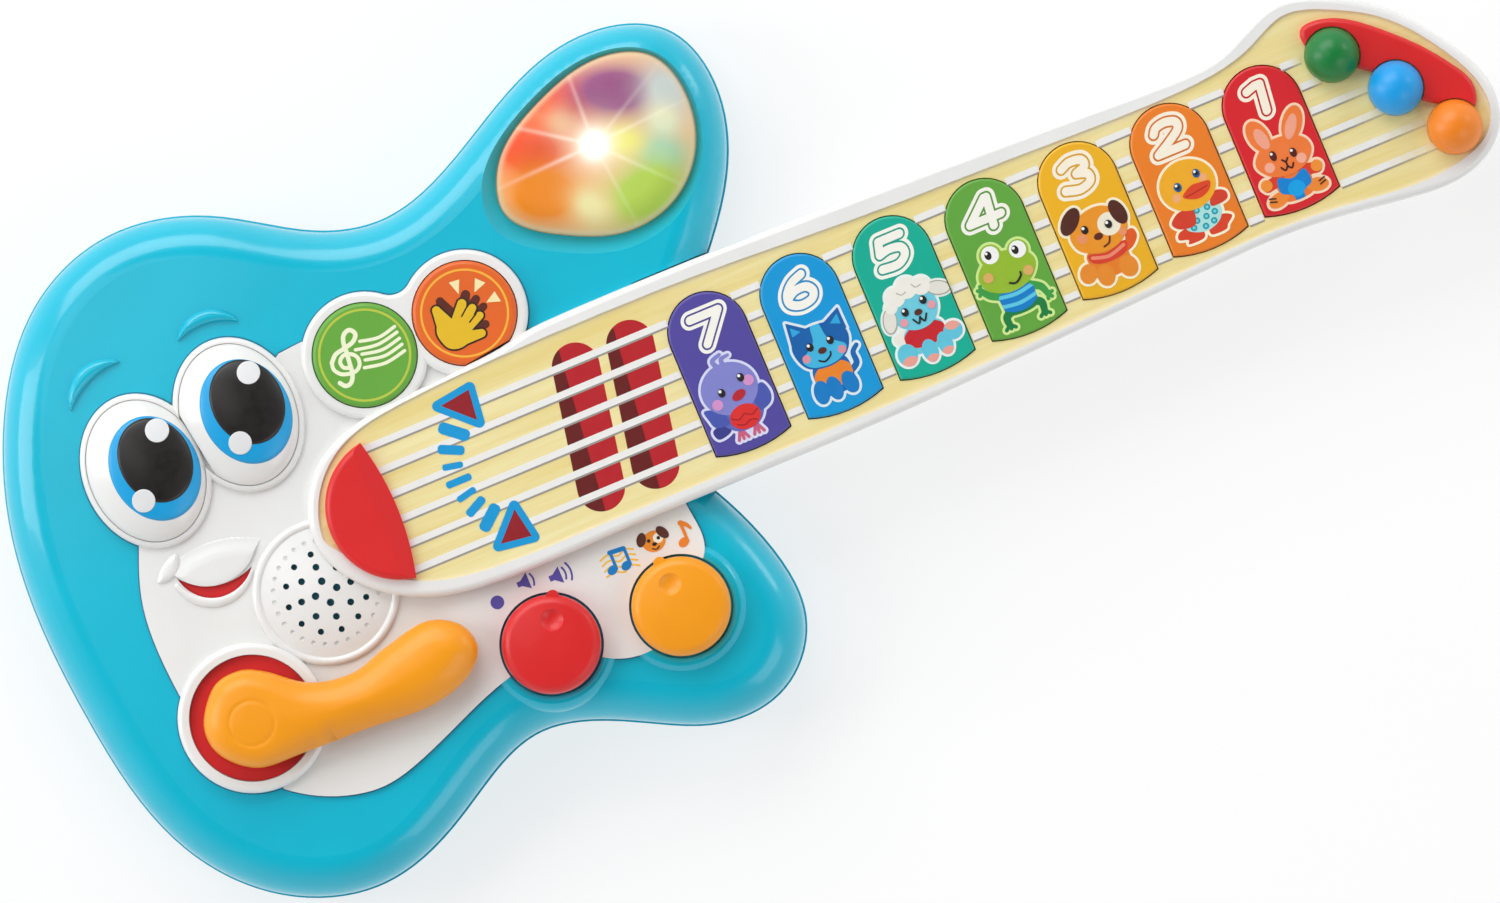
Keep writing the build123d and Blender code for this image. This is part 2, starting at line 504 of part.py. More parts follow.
seam_direction = Vector(*EYE_SEAM[1]) - Vector(*EYE_SEAM[0])
eye_seam_plane = Plane(origin=EYE_SEAM[0], x_dir=(0, 0, 1), z_dir=seam_direction.rotate(Axis.Z, 90))
for name, centre, kept in (("eye_left", EYE_LEFT, Keep.BOTTOM), ("eye_right", EYE_RIGHT, Keep.TOP)):
    with BuildPart() as eye:
        with BuildSketch(Plane.XY.offset(PLATE_Z)):
            with Locations(centre):
                Ellipse(*EYE_DOME_RADII)
        extrude(amount=0.6)
        with Locations((*centre, PLATE_Z + 0.6)):
            add(eye_cap.part)
        split(bisect_by=eye_seam_plane, keep=kept)
    eye.part.label = name
    export_step(eye.part, f"parts/{name}.step")

# ================================================================ neck
with BuildPart() as neck_frame:
    with BuildSketch(Plane.XY.offset(NECK_PARTING_Z)):
        add(neck_outline)
    extrude(amount=NECK_TOP_Z - NECK_PARTING_Z)
    fillet(neck_frame.faces().sort_by(Axis.Z)[-1].edges(), radius=1.8)
    with BuildSketch(Plane.XY.offset(NECK_PARTING_Z)):
        add(neck_inner)
    extrude(amount=DECK_BOTTOM_Z - NECK_PARTING_Z, mode=Mode.SUBTRACT)
    with Locations((NOTCH_X + GAP, 0, 0)):
        Box(200, 100, FRONT_Z, align=(Align.MAX, Align.CENTER, Align.MIN), mode=Mode.SUBTRACT)
    with BuildSketch(Plane.XY.offset(DECK_Z)):
        add(panel_outline)
    extrude(amount=5, mode=Mode.SUBTRACT)
    with BuildSketch(Plane.XY.offset(DECK_BOTTOM_Z - 1)):
        for hole in key_holes.values():
            add(hole)
    extrude(amount=4, mode=Mode.SUBTRACT)
    with Locations(*[(x, y, DECK_BOTTOM_Z - 1) for x, y in BALLS.values()]):
        Cylinder(TUNER_STEM_RADIUS + STEM_CLEARANCE, 4, align=STANDING, mode=Mode.SUBTRACT)
    with Locations(*[(x, y, NECK_PARTING_Z + 0.15) for x, y in NECK_SCREWS]):
        Cylinder(NECK_BOSS_RADIUS, DECK_BOTTOM_Z - NECK_PARTING_Z, align=STANDING)
        Cylinder(NECK_SCREW_RADIUS, 7, align=STANDING, mode=Mode.SUBTRACT)
neck_frame.part.label = "neck_frame"
export_step(neck_frame.part, "parts/neck_frame.step")

with BuildPart() as tray_cavity:
    with BuildSketch(Plane.XY.offset(NECK_BACK_Z + WALL)):
        add(neck_inner)
    extrude(amount=NECK_PARTING_Z - NECK_BACK_Z)
    fillet(tray_cavity.faces().sort_by(Axis.Z)[0].edges(), radius=2.6)
    with BuildSketch(Plane.XY.offset(NECK_BACK_Z)):
        add(closed_outline(BODY_POINTS, GAP + 2))
    extrude(amount=TONGUE_Z + 2 - NECK_BACK_Z, mode=Mode.SUBTRACT)
    with Locations((NOTCH_X + GAP - 0.1, 0, 0)):
        Box(200, 100, 50, align=(Align.MAX, Align.CENTER, Align.MIN), mode=Mode.SUBTRACT)
    with Locations((TONGUE_END_X + 2, -2, TONGUE_Z + 2)):
        Box(-22 - TONGUE_END_X, 32, 20, align=(Align.MIN, Align.CENTER, Align.MIN))
    with Locations(*[(x, y, NECK_BACK_Z) for x, y in NECK_SCREWS]):
        Cylinder(NECK_BOSS_RADIUS, NECK_PARTING_Z - NECK_BACK_Z - 0.15, align=STANDING, mode=Mode.SUBTRACT)
    with Locations(*[(x, y, NECK_BACK_Z) for x, y in TONGUE_SCREWS]):
        Cylinder(SCREW_BOSS_RADIUS, 14.8, align=STANDING, mode=Mode.SUBTRACT)
    with Locations(*[(x, y, NECK_BACK_Z) for x, y in KEY_BOARD_POSTS]):
        Cylinder(3, KEY_BOARD_Z - NECK_BACK_Z, align=STANDING, mode=Mode.SUBTRACT)

with BuildPart() as neck_back_shell:
    with BuildSketch(Plane.XY.offset(NECK_BACK_Z)):
        add(neck_outline)
    extrude(amount=NECK_PARTING_Z - NECK_BACK_Z)
    fillet(neck_back_shell.faces().sort_by(Axis.Z)[0].edges(), radius=5)
    with Locations((NOTCH_X + GAP, 0, 0)):
        Box(200, 100, 50, align=(Align.MAX, Align.CENTER, Align.MIN), mode=Mode.SUBTRACT)
    with Locations((TONGUE_END_X, -2, NECK_BACK_Z)):
        Box(30, 36, 23.8 - NECK_BACK_Z, align=(Align.MIN, Align.CENTER, Align.MIN))
    with BuildSketch(Plane.XY.offset(NECK_BACK_Z - 1)):
        add(closed_outline(BODY_POINTS, GAP))
    extrude(amount=TONGUE_Z - NECK_BACK_Z + 1, mode=Mode.SUBTRACT)
    add(tray_cavity.part, mode=Mode.SUBTRACT)
    with Locations((TONGUE_END_X, -2, 17.6)):
        Box(6, 9, 3, align=STANDING, mode=Mode.SUBTRACT)
    with Locations(*[(x, y, NECK_BACK_Z) for x, y in NECK_SCREWS]):
        Cylinder(NECK_SCREW_RADIUS + 0.2, 20, align=STANDING, mode=Mode.SUBTRACT)
        Cylinder(NECK_SCREW_HEAD_RADIUS + 0.4, 6, align=STANDING, mode=Mode.SUBTRACT)
    with Locations(*[(x, y, NECK_BACK_Z) for x, y in TONGUE_SCREWS]):
        Cylinder(SCREW_RADIUS, 14, align=STANDING, mode=Mode.SUBTRACT)
    with Locations(*[(x, y, KEY_BOARD_Z - 5) for x, y in KEY_BOARD_POSTS]):
        Cylinder(POST_HOLE_RADIUS, 5, align=STANDING, mode=Mode.SUBTRACT)
neck_back_shell.part.label = "neck_back_shell"
export_step(neck_back_shell.part, "parts/neck_back_shell.step")

with BuildPart() as fretboard:
    with BuildSketch(Plane.XY.offset(DECK_Z)):
        add(panel_outline)
        for hole in key_holes.values():
            add(hole, mode=Mode.SUBTRACT)
        with Locations(*BALLS.values()):
            Circle(BALL_RADIUS + 0.05, mode=Mode.SUBTRACT)
    extrude(amount=PANEL_Z - DECK_Z)
fretboard.part.label = "fretboard"
export_step(fretboard.part, "parts/fretboard.step")

with BuildPart() as bridge:
    with BuildSketch(Plane.XY.offset(PANEL_Z)):
        add(crescent((-112, 17.4), (-129.1, -2.7), (-112, -22.8), (-109.4, -2.7)))
    extrude(amount=BRIDGE_HEIGHT)
    fillet(bridge.faces().sort_by(Axis.Z)[-1].edges().sort_by(Axis.X)[0], radius=1.8)
    slope_normal = (sin(radians(BRIDGE_TILT)), 0, cos(radians(BRIDGE_TILT)))
    split(bisect_by=Plane(origin=(-115, 0, PANEL_Z + BRIDGE_HEIGHT), z_dir=slope_normal), keep=Keep.BOTTOM)
bridge.part.label = "bridge"
export_step(bridge.part, "parts/bridge.step")

for number in range(1, 8):
    with BuildPart() as key:
        with BuildSketch(Plane.XY.offset(KEY_FLANGE_Z)):
            add(key_flanges[number])
        extrude(amount=1.5)
        with BuildSketch(Plane.XY.offset(KEY_FLANGE_Z + 1.5)):
            add(key_outlines[number])
        extrude(amount=4.9)
        fillet(key.faces().sort_by(Axis.Z)[-1].edges(), radius=0.7)
        with BuildSketch(Plane.XY.offset(KEY_FLANGE_Z)):
            add(key_outline(number, -2))
        extrude(amount=4.4, mode=Mode.SUBTRACT)
        with Locations((key_x(number), -3, 27.7)):
            Cylinder(2.5, 9, align=STANDING)
    key.part.label = f"key_{number}"
    export_step(key.part, f"parts/key_{number}.step")

with BuildPart() as headstock_crescent:
    with BuildSketch(Plane.XY.offset(PANEL_Z)):
        add(closed_outline(CRESCENT_POINTS))
    extrude(amount=CRESCENT_HEIGHT)
    fillet(headstock_crescent.faces().sort_by(Axis.Z)[-1].edges(), radius=1.5)
    with Locations(*[(x, y, PANEL_Z) for x, y in BALLS.values()]):
        Cylinder(BALL_RADIUS + GAP, 5, align=STANDING, mode=Mode.SUBTRACT)
headstock_crescent.part.label = "headstock_crescent"
export_step(headstock_crescent.part, "parts/headstock_crescent.step")

for colour, centre in BALLS.items():
    with BuildPart() as ball:
        with Locations((*centre, BALL_Z)):
            Sphere(BALL_RADIUS)
        split(bisect_by=Plane.XY.offset(BALL_FLOOR_Z))
        with Locations((*centre, 29)):
            Cylinder(TUNER_STEM_RADIUS, 7, align=STANDING)
    ball.part.label = f"tuning_ball_{colour}"
    export_step(ball.part, f"parts/tuning_ball_{colour}.step")
    with BuildPart() as clip:
        with Locations((*centre, TUNER_CLIP_Z)):
            Cylinder(TUNER_CLIP_RADIUS, TUNER_CLIP_THICKNESS, align=STANDING)
            Cylinder(TUNER_STEM_RADIUS, TUNER_CLIP_THICKNESS, align=STANDING, mode=Mode.SUBTRACT)
    clip.part.label = f"tuner_clip_{colour}"
    export_step(clip.part, f"parts/tuner_clip_{colour}.step")

# ================================================================ knobs, lever and round buttons
KNOBS = {"volume_knob": (VOLUME_KNOB, 66), "mode_knob": (MODE_KNOB, 94)}
for name, (centre, nub_angle) in KNOBS.items():
    with BuildPart() as knob:
        with BuildSketch(Plane.XZ):
            with BuildLine():
                Polyline((0, KNOB_STEM_Z), (KNOB_STEM_RADIUS, KNOB_STEM_Z),
                         (KNOB_STEM_RADIUS, KNOB_WELL_Z + 0.5),
                         (KNOB_RADIUS - 0.3, KNOB_WELL_Z + 0.5), (KNOB_RADIUS, KNOB_TOP_Z - 3.6))
                shoulder = ThreePointArc((KNOB_RADIUS, KNOB_TOP_Z - 3.6), (KNOB_RADIUS - 0.9, KNOB_TOP_Z - 1.6),
                                         (KNOB_RADIUS - 2.8, KNOB_TOP_Z - 0.7))
                ThreePointArc(shoulder @ 1, (KNOB_RADIUS - 8, KNOB_TOP_Z - 0.15), (0, KNOB_TOP_Z))
                Line((0, KNOB_TOP_Z), (0, KNOB_STEM_Z))
            make_face()
        revolve(axis=Axis.Z)
        with PolarLocations(KNOB_RADIUS - 0.5, 1, start_angle=nub_angle):
            with Locations((0, 0, PLATE_Z + 0.4)):
                Cylinder(1.8, 6.2, align=STANDING)
        with PolarLocations(KNOB_RADIUS - 6.6, 1, start_angle=nub_angle):
            with Locations((0, 0, KNOB_TOP_Z + 3.6)):
                Sphere(5.0, mode=Mode.SUBTRACT)
    with BuildPart() as placed_knob:
        with Locations((*centre, 0)):
            add(knob.part)
    placed_knob.part.label = name
    export_step(placed_knob.part, f"parts/{name}.step")

for name, centre in (("volume_switch", VOLUME_KNOB), ("mode_switch", MODE_KNOB)):
    with BuildPart() as switch:
        with Locations((*centre, MAIN_BOARD_Z + BOARD_THICKNESS)):
            Box(12, 12, 6, align=STANDING)
            Cylinder(4.5, 8, align=STANDING)
            Cylinder(KNOB_STEM_RADIUS + STEM_CLEARANCE, 8, align=STANDING, mode=Mode.SUBTRACT)
    switch.part.label = name
    export_step(switch.part, f"parts/{name}.step")

with BuildPart() as whammy_lever:
    with BuildSketch(Plane.XY.offset(LEVER_HANDLE_Z)):
        add(lever_outline)
    extrude(amount=LEVER_HANDLE_HEIGHT)
    fillet(whammy_lever.faces().sort_by(Axis.Z)[-1].edges(), radius=4)
    fillet(whammy_lever.faces().sort_by(Axis.Z)[0].edges(), radius=2)
    with Locations((*LEVER_PIVOT, 34.8)):
        Cylinder(12.2, 4, align=STANDING)
    with Locations((*LEVER_PIVOT, LEVER_STEM_Z)):
        Cylinder(LEVER_STEM_RADIUS, 11, align=STANDING)
        Cylinder(LEVER_SCREW_RADIUS, 9, align=STANDING, mode=Mode.SUBTRACT)
whammy_lever.part.label = "whammy_lever"
export_step(whammy_lever.part, "parts/whammy_lever.step")

with BuildPart() as lever_dish:
    with Locations((*LEVER_PIVOT, PLATE_Z)):
        Cylinder(LEVER_DISH_RADIUS, 1, align=STANDING)
        Cylinder(LEVER_STEM_RADIUS + STEM_CLEARANCE, 1, align=STANDING, mode=Mode.SUBTRACT)
lever_dish.part.label = "lever_dish"
export_step(lever_dish.part, "parts/lever_dish.step")

with BuildPart() as lever_retainer:
    with Locations((*LEVER_PIVOT, LEVER_STEM_Z - RETAINER_THICKNESS)):
        Cylinder(7, RETAINER_THICKNESS, align=STANDING)
        Cylinder(LEVER_SCREW_RADIUS, RETAINER_THICKNESS, align=STANDING, mode=Mode.SUBTRACT)
    with Locations((LEVER_PIVOT[0], LEVER_PIVOT[1] + 6.5, LEVER_STEM_Z - RETAINER_THICKNESS)):
        Box(4, 5, RETAINER_THICKNESS, align=(Align.CENTER, Align.MIN, Align.MIN))
lever_retainer.part.label = "lever_retainer"
export_step(lever_retainer.part, "parts/lever_retainer.step")

with BuildPart() as lever_screw:
    with Locations((*LEVER_PIVOT, LEVER_STEM_Z - RETAINER_THICKNESS - 1.6)):
        Cylinder(2.4, 1.6, align=STANDING)
        Cylinder(LEVER_SCREW_RADIUS, 11, align=STANDING)
lever_screw.part.label = "lever_screw"
export_step(lever_screw.part, "parts/lever_screw.step")

with BuildPart() as lever_spring:
    with BuildLine():
        coil = Helix(pitch=1.25, height=3.1, radius=5.8, center=(*LEVER_PIVOT, 25.6))
    with BuildSketch(Plane(coil @ 0, z_dir=coil % 0)):
        Circle(0.45)
    sweep()
lever_spring.part.label = "lever_spring"
export_step(lever_spring.part, "parts/lever_spring.step")

with BuildPart() as lever_switch:
    with Locations((-162.6, -30, 21.6)):
        Box(8, 8, FRONT_Z - TOP_WALL - 21.6, align=(Align.MIN, Align.CENTER, Align.MIN))
lever_switch.part.label = "lever_switch"
export_step(lever_switch.part, "parts/lever_switch.step")

ROUND_BUTTONS = {
    "music_button": (MUSIC_BUTTON, ((90, 14.8), (180, 14.8), (270, 14.8))),
    "clap_button": (CLAP_BUTTON, ((90, 14.8), (0, 14.8), (270, 12.9))),
}
for name, (centre, lugs) in ROUND_BUTTONS.items():
    with BuildPart() as button:
        with Locations((*centre, BUTTON_SKIRT_Z)):
            Cylinder(BUTTON_RADIUS, 8.6, align=STANDING)
        fillet(button.faces().sort_by(Axis.Z)[-1].edges(), radius=1.2)
        with Locations((*centre, BUTTON_SKIRT_Z)):
            Cylinder(BUTTON_RADIUS - 1.6, 6.4, align=STANDING, mode=Mode.SUBTRACT)
        if name == "clap_button":
            with Locations(Location((centre[0], CLAP_FLAT_Y, 20), (0, 0, CLAP_FLAT_TURN))):
                Box(40, 20, 30, align=(Align.CENTER, Align.MAX, Align.MIN), mode=Mode.SUBTRACT)
            with Locations(Location((centre[0], CLAP_FLAT_Y, BUTTON_SKIRT_Z), (0, 0, CLAP_FLAT_TURN))):
                Box(10, 1.6, 7, align=(Align.CENTER, Align.MIN, Align.MIN))
        for angle, reach in lugs:
            with Locations(Location((centre[0] + reach * cos(radians(angle)),
                                     centre[1] + reach * sin(radians(angle)), BUTTON_SKIRT_Z), (0, 0, angle))):
                Box(3.2, 5, 1.5, align=STANDING)
        with Locations((*centre, 26)):
            Cylinder(3, 9, align=STANDING)
    button.part.label = name
    export_step(button.part, f"parts/{name}.step")

# ================================================================ lamp
with BuildPart() as lamp_hollow:
    with BuildSketch(Plane.XY.offset(20)):
        add(closed_outline(LAMP_POINTS, -2))
    extrude(amount=15)
    fillet(lamp_hollow.faces().sort_by(Axis.Z)[-1].edges(), radius=5)

with BuildPart() as lamp_dome:
    with BuildSketch(Plane.XY.offset(LAMP_BASE_Z)):
        add(closed_outline(LAMP_POINTS))
    extrude(amount=LAMP_HEIGHT)
    fillet(lamp_dome.faces().sort_by(Axis.Z)[-1].edges(), radius=LAMP_EDGE_RADIUS)
    with BuildSketch(Plane.XY.offset(LAMP_BASE_Z)):
        add(closed_outline(LAMP_POINTS, 2.2))
    extrude(amount=1.5)
    add(lamp_hollow.part, mode=Mode.SUBTRACT)
lamp_dome.part.label = "lamp_dome"
export_step(lamp_dome.part, "parts/lamp_dome.step")

with BuildPart() as lamp_reflector:
    with BuildSketch(Plane.XY.offset(REFLECTOR_Z)):
        add(closed_outline(LAMP_POINTS, -1))
    extrude(amount=5.5)
    with BuildSketch(Plane.XY.offset(REFLECTOR_Z + 1.5)):
        add(closed_outline(LAMP_POINTS, -2.4))
    extrude(amount=5, mode=Mode.SUBTRACT)
    with Locations(*[(x, y, 18) for x, y in LEDS]):
        Cylinder(2.8, 3, align=STANDING, mode=Mode.SUBTRACT)
lamp_reflector.part.label = "lamp_reflector"
export_step(lamp_reflector.part, "parts/lamp_reflector.step")

with BuildPart() as lamp_board:
    with BuildSketch(Plane.XY.offset(LAMP_BOARD_Z)):
        add(closed_outline(LAMP_POINTS, -4))
        with Locations(*LAMP_BOARD_POSTS):
            Circle(BOARD_HOLE_RADIUS, mode=Mode.SUBTRACT)
    extrude(amount=BOARD_THICKNESS)
lamp_board.part.label = "lamp_board"
export_step(lamp_board.part, "parts/lamp_board.step")

with BuildPart() as leds:
    with Locations(*[(x, y, LAMP_BOARD_Z + BOARD_THICKNESS) for x, y in LEDS]):
        Cylinder(2.4, 3.6, align=STANDING)
    with Locations(*[(x, y, LAMP_BOARD_Z + BOARD_THICKNESS + 3.6) for x, y in LEDS]):
        Sphere(2.4)
leds.part.label = "leds"
export_step(leds.part, "parts/leds.step")

# ================================================================ electronics
with BuildPart() as main_board:
    with Locations((*MAIN_BOARD, MAIN_BOARD_Z)):
        Box(*MAIN_BOARD_SIZE, BOARD_THICKNESS, align=STANDING)
    with Locations(*[(x, y, MAIN_BOARD_Z) for x, y in MAIN_BOARD_POSTS]):
        Cylinder(BOARD_HOLE_RADIUS, BOARD_THICKNESS, align=STANDING, mode=Mode.SUBTRACT)
    with Locations(*[(*centre, MAIN_BOARD_Z) for centre in (VOLUME_KNOB, MODE_KNOB)]):
        Cylinder(KNOB_STEM_RADIUS + 0.4, BOARD_THICKNESS, align=STANDING, mode=Mode.SUBTRACT)
main_board.part.label = "main_board"
export_step(main_board.part, "parts/main_board.step")

with BuildPart() as sound_chips:
    with Locations((-69, -48.5, MAIN_BOARD_Z + BOARD_THICKNESS)):
        Cylinder(5, 1.4, align=STANDING)
    with Locations((-67, -62, MAIN_BOARD_Z + BOARD_THICKNESS)):
        Box(9, 4, 1.5, align=STANDING)
    with Locations((-58.5, -64, MAIN_BOARD_Z + BOARD_THICKNESS), (-74.5, -66, MAIN_BOARD_Z + BOARD_THICKNESS)):
        Cylinder(2, 5, align=STANDING)
sound_chips.part.label = "sound_chips"
export_step(sound_chips.part, "parts/sound_chips.step")

with BuildPart() as key_board:
    with Locations((-20, -4.5, KEY_BOARD_Z)):
        Box(183.5, 38.0, BOARD_THICKNESS, align=(Align.MIN, Align.CENTER, Align.MIN))
    with Locations(*[(x, y, KEY_BOARD_Z) for x, y in KEY_BOARD_POSTS]):
        Cylinder(BOARD_HOLE_RADIUS, BOARD_THICKNESS, align=STANDING, mode=Mode.SUBTRACT)
key_board.part.label = "key_board"
export_step(key_board.part, "parts/key_board.step")

with BuildPart() as key_pad:
    with Locations((-18, -3, KEY_PAD_Z)):
        Box(179.5, 14, 1, align=(Align.MIN, Align.CENTER, Align.MIN))
    with Locations(*[(x, y, KEY_PAD_Z) for x, y in KEY_BOARD_POSTS]):
        Cylinder(3, 1, align=STANDING, mode=Mode.SUBTRACT)
    with Locations(*[(key_x(number), -3, KEY_PAD_Z) for number in range(1, 8)]):
        Cone(4.8, 3, 4.1, align=STANDING)
        Cylinder(2.4, 2.6, align=STANDING, mode=Mode.SUBTRACT)
key_pad.part.label = "key_pad"
export_step(key_pad.part, "parts/key_pad.step")

with BuildPart() as button_board:
    with Locations((-86.7, 39.3, BUTTON_BOARD_Z)):
        Box(66, 34, BOARD_THICKNESS, align=STANDING)
    with Locations(*[(x, y, BUTTON_BOARD_Z) for x, y in BUTTON_BOARD_POSTS]):
        Cylinder(BOARD_HOLE_RADIUS, BOARD_THICKNESS, align=STANDING, mode=Mode.SUBTRACT)
button_board.part.label = "button_board"
export_step(button_board.part, "parts/button_board.step")

with BuildPart() as button_pad:
    with Locations((-86.7, 39.3, BUTTON_BOARD_Z + BOARD_THICKNESS)):
        Box(48, 14, 0.8, align=STANDING)
    with Locations(*[(*centre, BUTTON_BOARD_Z + BOARD_THICKNESS) for centre in (MUSIC_BUTTON, CLAP_BUTTON)]):
        Cone(5.5, 3.5, 2.1, align=STANDING)
button_pad.part.label = "button_pad"
export_step(button_pad.part, "parts/button_pad.step")

with BuildPart() as strum_film:
    with Locations((-83, -3, FRONT_Z + 0.2)):
        Box(34, 44, 0.4, align=STANDING)
strum_film.part.label = "strum_film"
export_step(strum_film.part, "parts/strum_film.step")

with BuildPart() as speaker_basket:
    with Locations((*SPEAKER, 28.2)):
        Cylinder(GRILLE_RADIUS - 0.8, 1.3, align=STANDING)
        Cylinder(14, 1.3, align=STANDING, mode=Mode.SUBTRACT)
    with Locations((*SPEAKER, 23.4)):
        Cone(10, 15, 4.8, align=STANDING)
        Cone(9, 14, 4.8, align=STANDING, mode=Mode.SUBTRACT)
speaker_basket.part.label = "speaker_basket"
export_step(speaker_basket.part, "parts/speaker_basket.step")

with BuildPart() as speaker_cone:
    with Locations((*SPEAKER, 24)):
        Cone(5, 13, 4.4, align=STANDING)
        Cone(4.4, 12.4, 4.4, align=STANDING, mode=Mode.SUBTRACT)
    with Locations((*SPEAKER, 24)):
        Cylinder(5, 0.8, align=STANDING)
speaker_cone.part.label = "speaker_cone"
export_step(speaker_cone.part, "parts/speaker_cone.step")

with BuildPart() as speaker_magnet:
    with Locations((*SPEAKER, 20)):
        Cylinder(9, 3.4, align=STANDING)
    fillet(speaker_magnet.edges().filter_by(GeomType.CIRCLE).sort_by(Axis.Z)[0], radius=0.6)
speaker_magnet.part.label = "speaker_magnet"
export_step(speaker_magnet.part, "parts/speaker_magnet.step")

# ================================================================ power
with BuildPart() as batteries:
    for row in (-1, 0, 1):
        cell_y = BATTERY_CENTRE[1] + row * CELL_PITCH
        with Locations(Location((BATTERY_CENTRE[0], cell_y, CELL_AXIS_Z), (0, 90, 0))):
            Cylinder(CELL_RADIUS, CELL_LENGTH - 1.4)
            Cylinder(2.7, CELL_LENGTH)
batteries.part.label = "batteries"
export_step(batteries.part, "parts/batteries.step")

with BuildPart() as battery_contacts:
    for row in (-1, 0, 1):
        for side in (-1, 1):
            cell_y = BATTERY_CENTRE[1] + row * CELL_PITCH
            with Locations((BATTERY_CENTRE[0] + side * (BATTERY_BAY[0] / 2 - 0.3), cell_y, CELL_AXIS_Z)):
                Box(0.6, 11, 11)
            with Locations(Location((BATTERY_CENTRE[0] + side * 26.3, cell_y, CELL_AXIS_Z), (0, 90, 0))):
                Cylinder(2.6, 3)
battery_contacts.part.label = "battery_contacts"
export_step(battery_contacts.part, "parts/battery_contacts.step")

with BuildPart() as battery_door:
    with BuildSketch():
        with Locations(BATTERY_CENTRE):
            RectangleRounded(BATTERY_DOOR[0], BATTERY_DOOR[1], 0.3)
    extrude(amount=BATTERY_DOOR[2])
    with Locations((*DOOR_SCREW, 0)):
        Cylinder(1.4, 2, align=STANDING, mode=Mode.SUBTRACT)
        Cylinder(2.6, 1.2, align=STANDING, mode=Mode.SUBTRACT)
    for step in range(4):
        with Locations((BATTERY_CENTRE[0] - 28 + step * 3, BATTERY_CENTRE[1], 0)):
            Box(1.2, 26, 0.7, align=STANDING, mode=Mode.SUBTRACT)
battery_door.part.label = "battery_door"
export_step(battery_door.part, "parts/battery_door.step")

with BuildPart() as battery_door_screw:
    with Locations((*DOOR_SCREW, 0.2)):
        Cylinder(2.3, 1, align=STANDING)
        Cylinder(1.2, 8.5, align=STANDING)
battery_door_screw.part.label = "battery_door_screw"
export_step(battery_door_screw.part, "parts/battery_door_screw.step")

# ================================================================ screws
with BuildPart() as body_screws:
    with Locations(*[(x, y, 4) for x, y in BODY_SCREWS + TONGUE_SCREWS]):
        Cylinder(SCREW_HEAD_RADIUS, 2, align=STANDING)
        Cylinder(SCREW_RADIUS, 17, align=STANDING)
        Box(3.4, 0.8, 0.8, align=STANDING, mode=Mode.SUBTRACT)
        Box(0.8, 3.4, 0.8, align=STANDING, mode=Mode.SUBTRACT)
body_screws.part.label = "body_screws"
export_step(body_screws.part, "parts/body_screws.step")

with BuildPart() as neck_screws:
    with Locations(*[(x, y, 13.4) for x, y in NECK_SCREWS]):
        Cylinder(NECK_SCREW_HEAD_RADIUS, 1.6, align=STANDING)
        Cylinder(NECK_SCREW_RADIUS, 17, align=STANDING)
        Box(2.8, 0.7, 0.7, align=STANDING, mode=Mode.SUBTRACT)
        Box(0.7, 2.8, 0.7, align=STANDING, mode=Mode.SUBTRACT)
neck_screws.part.label = "neck_screws"
export_step(neck_screws.part, "parts/neck_screws.step")

with BuildPart() as board_screws:
    for posts, top in ((MAIN_BOARD_POSTS, MAIN_BOARD_Z), (LAMP_BOARD_POSTS, LAMP_BOARD_Z),
                       (KEY_BOARD_POSTS, KEY_BOARD_Z)):
        with Locations(*[(x, y, top + BOARD_THICKNESS) for x, y in posts]):
            Cylinder(2, 1, align=STANDING)
            Cylinder(1, 6, align=HANGING)
    with Locations(*[(x, y, BUTTON_BOARD_Z) for x, y in BUTTON_BOARD_POSTS]):
        Cylinder(2, 1, align=HANGING)
        Cylinder(1, 6, align=STANDING)
board_screws.part.label = "board_screws"
export_step(board_screws.part, "parts/board_screws.step")

# ================================================================ wiring
with BuildPart() as neck_ribbon_cable:
    with Locations((-64, -2, 18.6)):
        Box(50, 8, 0.6, align=(Align.MIN, Align.CENTER, Align.MIN))
    with Locations((-60, 2, 18.6)):
        Box(8, 45, 0.6, align=(Align.CENTER, Align.MAX, Align.MIN))
    with Locations((-17, -2, 19.2)):
        Box(5, 8, KEY_BOARD_Z - 19.2, align=STANDING)
    with Locations((-60, -40.5, MAIN_BOARD_Z + BOARD_THICKNESS)):
        Box(8, 5, 1, align=STANDING)
neck_ribbon_cable.part.label = "neck_ribbon_cable"
export_step(neck_ribbon_cable.part, "parts/neck_ribbon_cable.step")

WIRE_ROUTES = [
    [(-106.2, 8, 11), (-100, 0, 11), (-92, -16, 13), (-89, -32, 19), (-89, -39, 18.6)],
    [(-118, -25, 24), (-108, -32, 22), (-96, -38, 20), (-88, -44, 18.6)],
    [(-45, 58, 14), (-56, 40, 11), (-62, 10, 11), (-66, -24, 15), (-74, -34, 19), (-74, -40, 18.6)],
    [(-154, -30, 25), (-148, -42, 18), (-130, -52, 14), (-112, -52, 16), (-96.5, -49, 18.6)],
]
with BuildPart() as wires:
    for route in WIRE_ROUTES:
        with BuildLine() as path:
            FilletPolyline(*route, radius=4)
        with BuildSketch(Plane(path.line @ 0, z_dir=path.line % 0)):
            Circle(0.6)
        sweep(path=path.line)
wires.part.label = "wires"
export_step(wires.part, "parts/wires.step")
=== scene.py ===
"""Looks of a toddler's toy electric guitar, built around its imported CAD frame.

Lengths in this file are millimetres in the CAD frame until a mesh is made, where MM turns them into metres.
Lights, the floor and the noise textures are in metres.
"""

import json
import math

import bpy
import numpy as np
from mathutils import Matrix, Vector
from mathutils.geometry import delaunay_2d_cdt


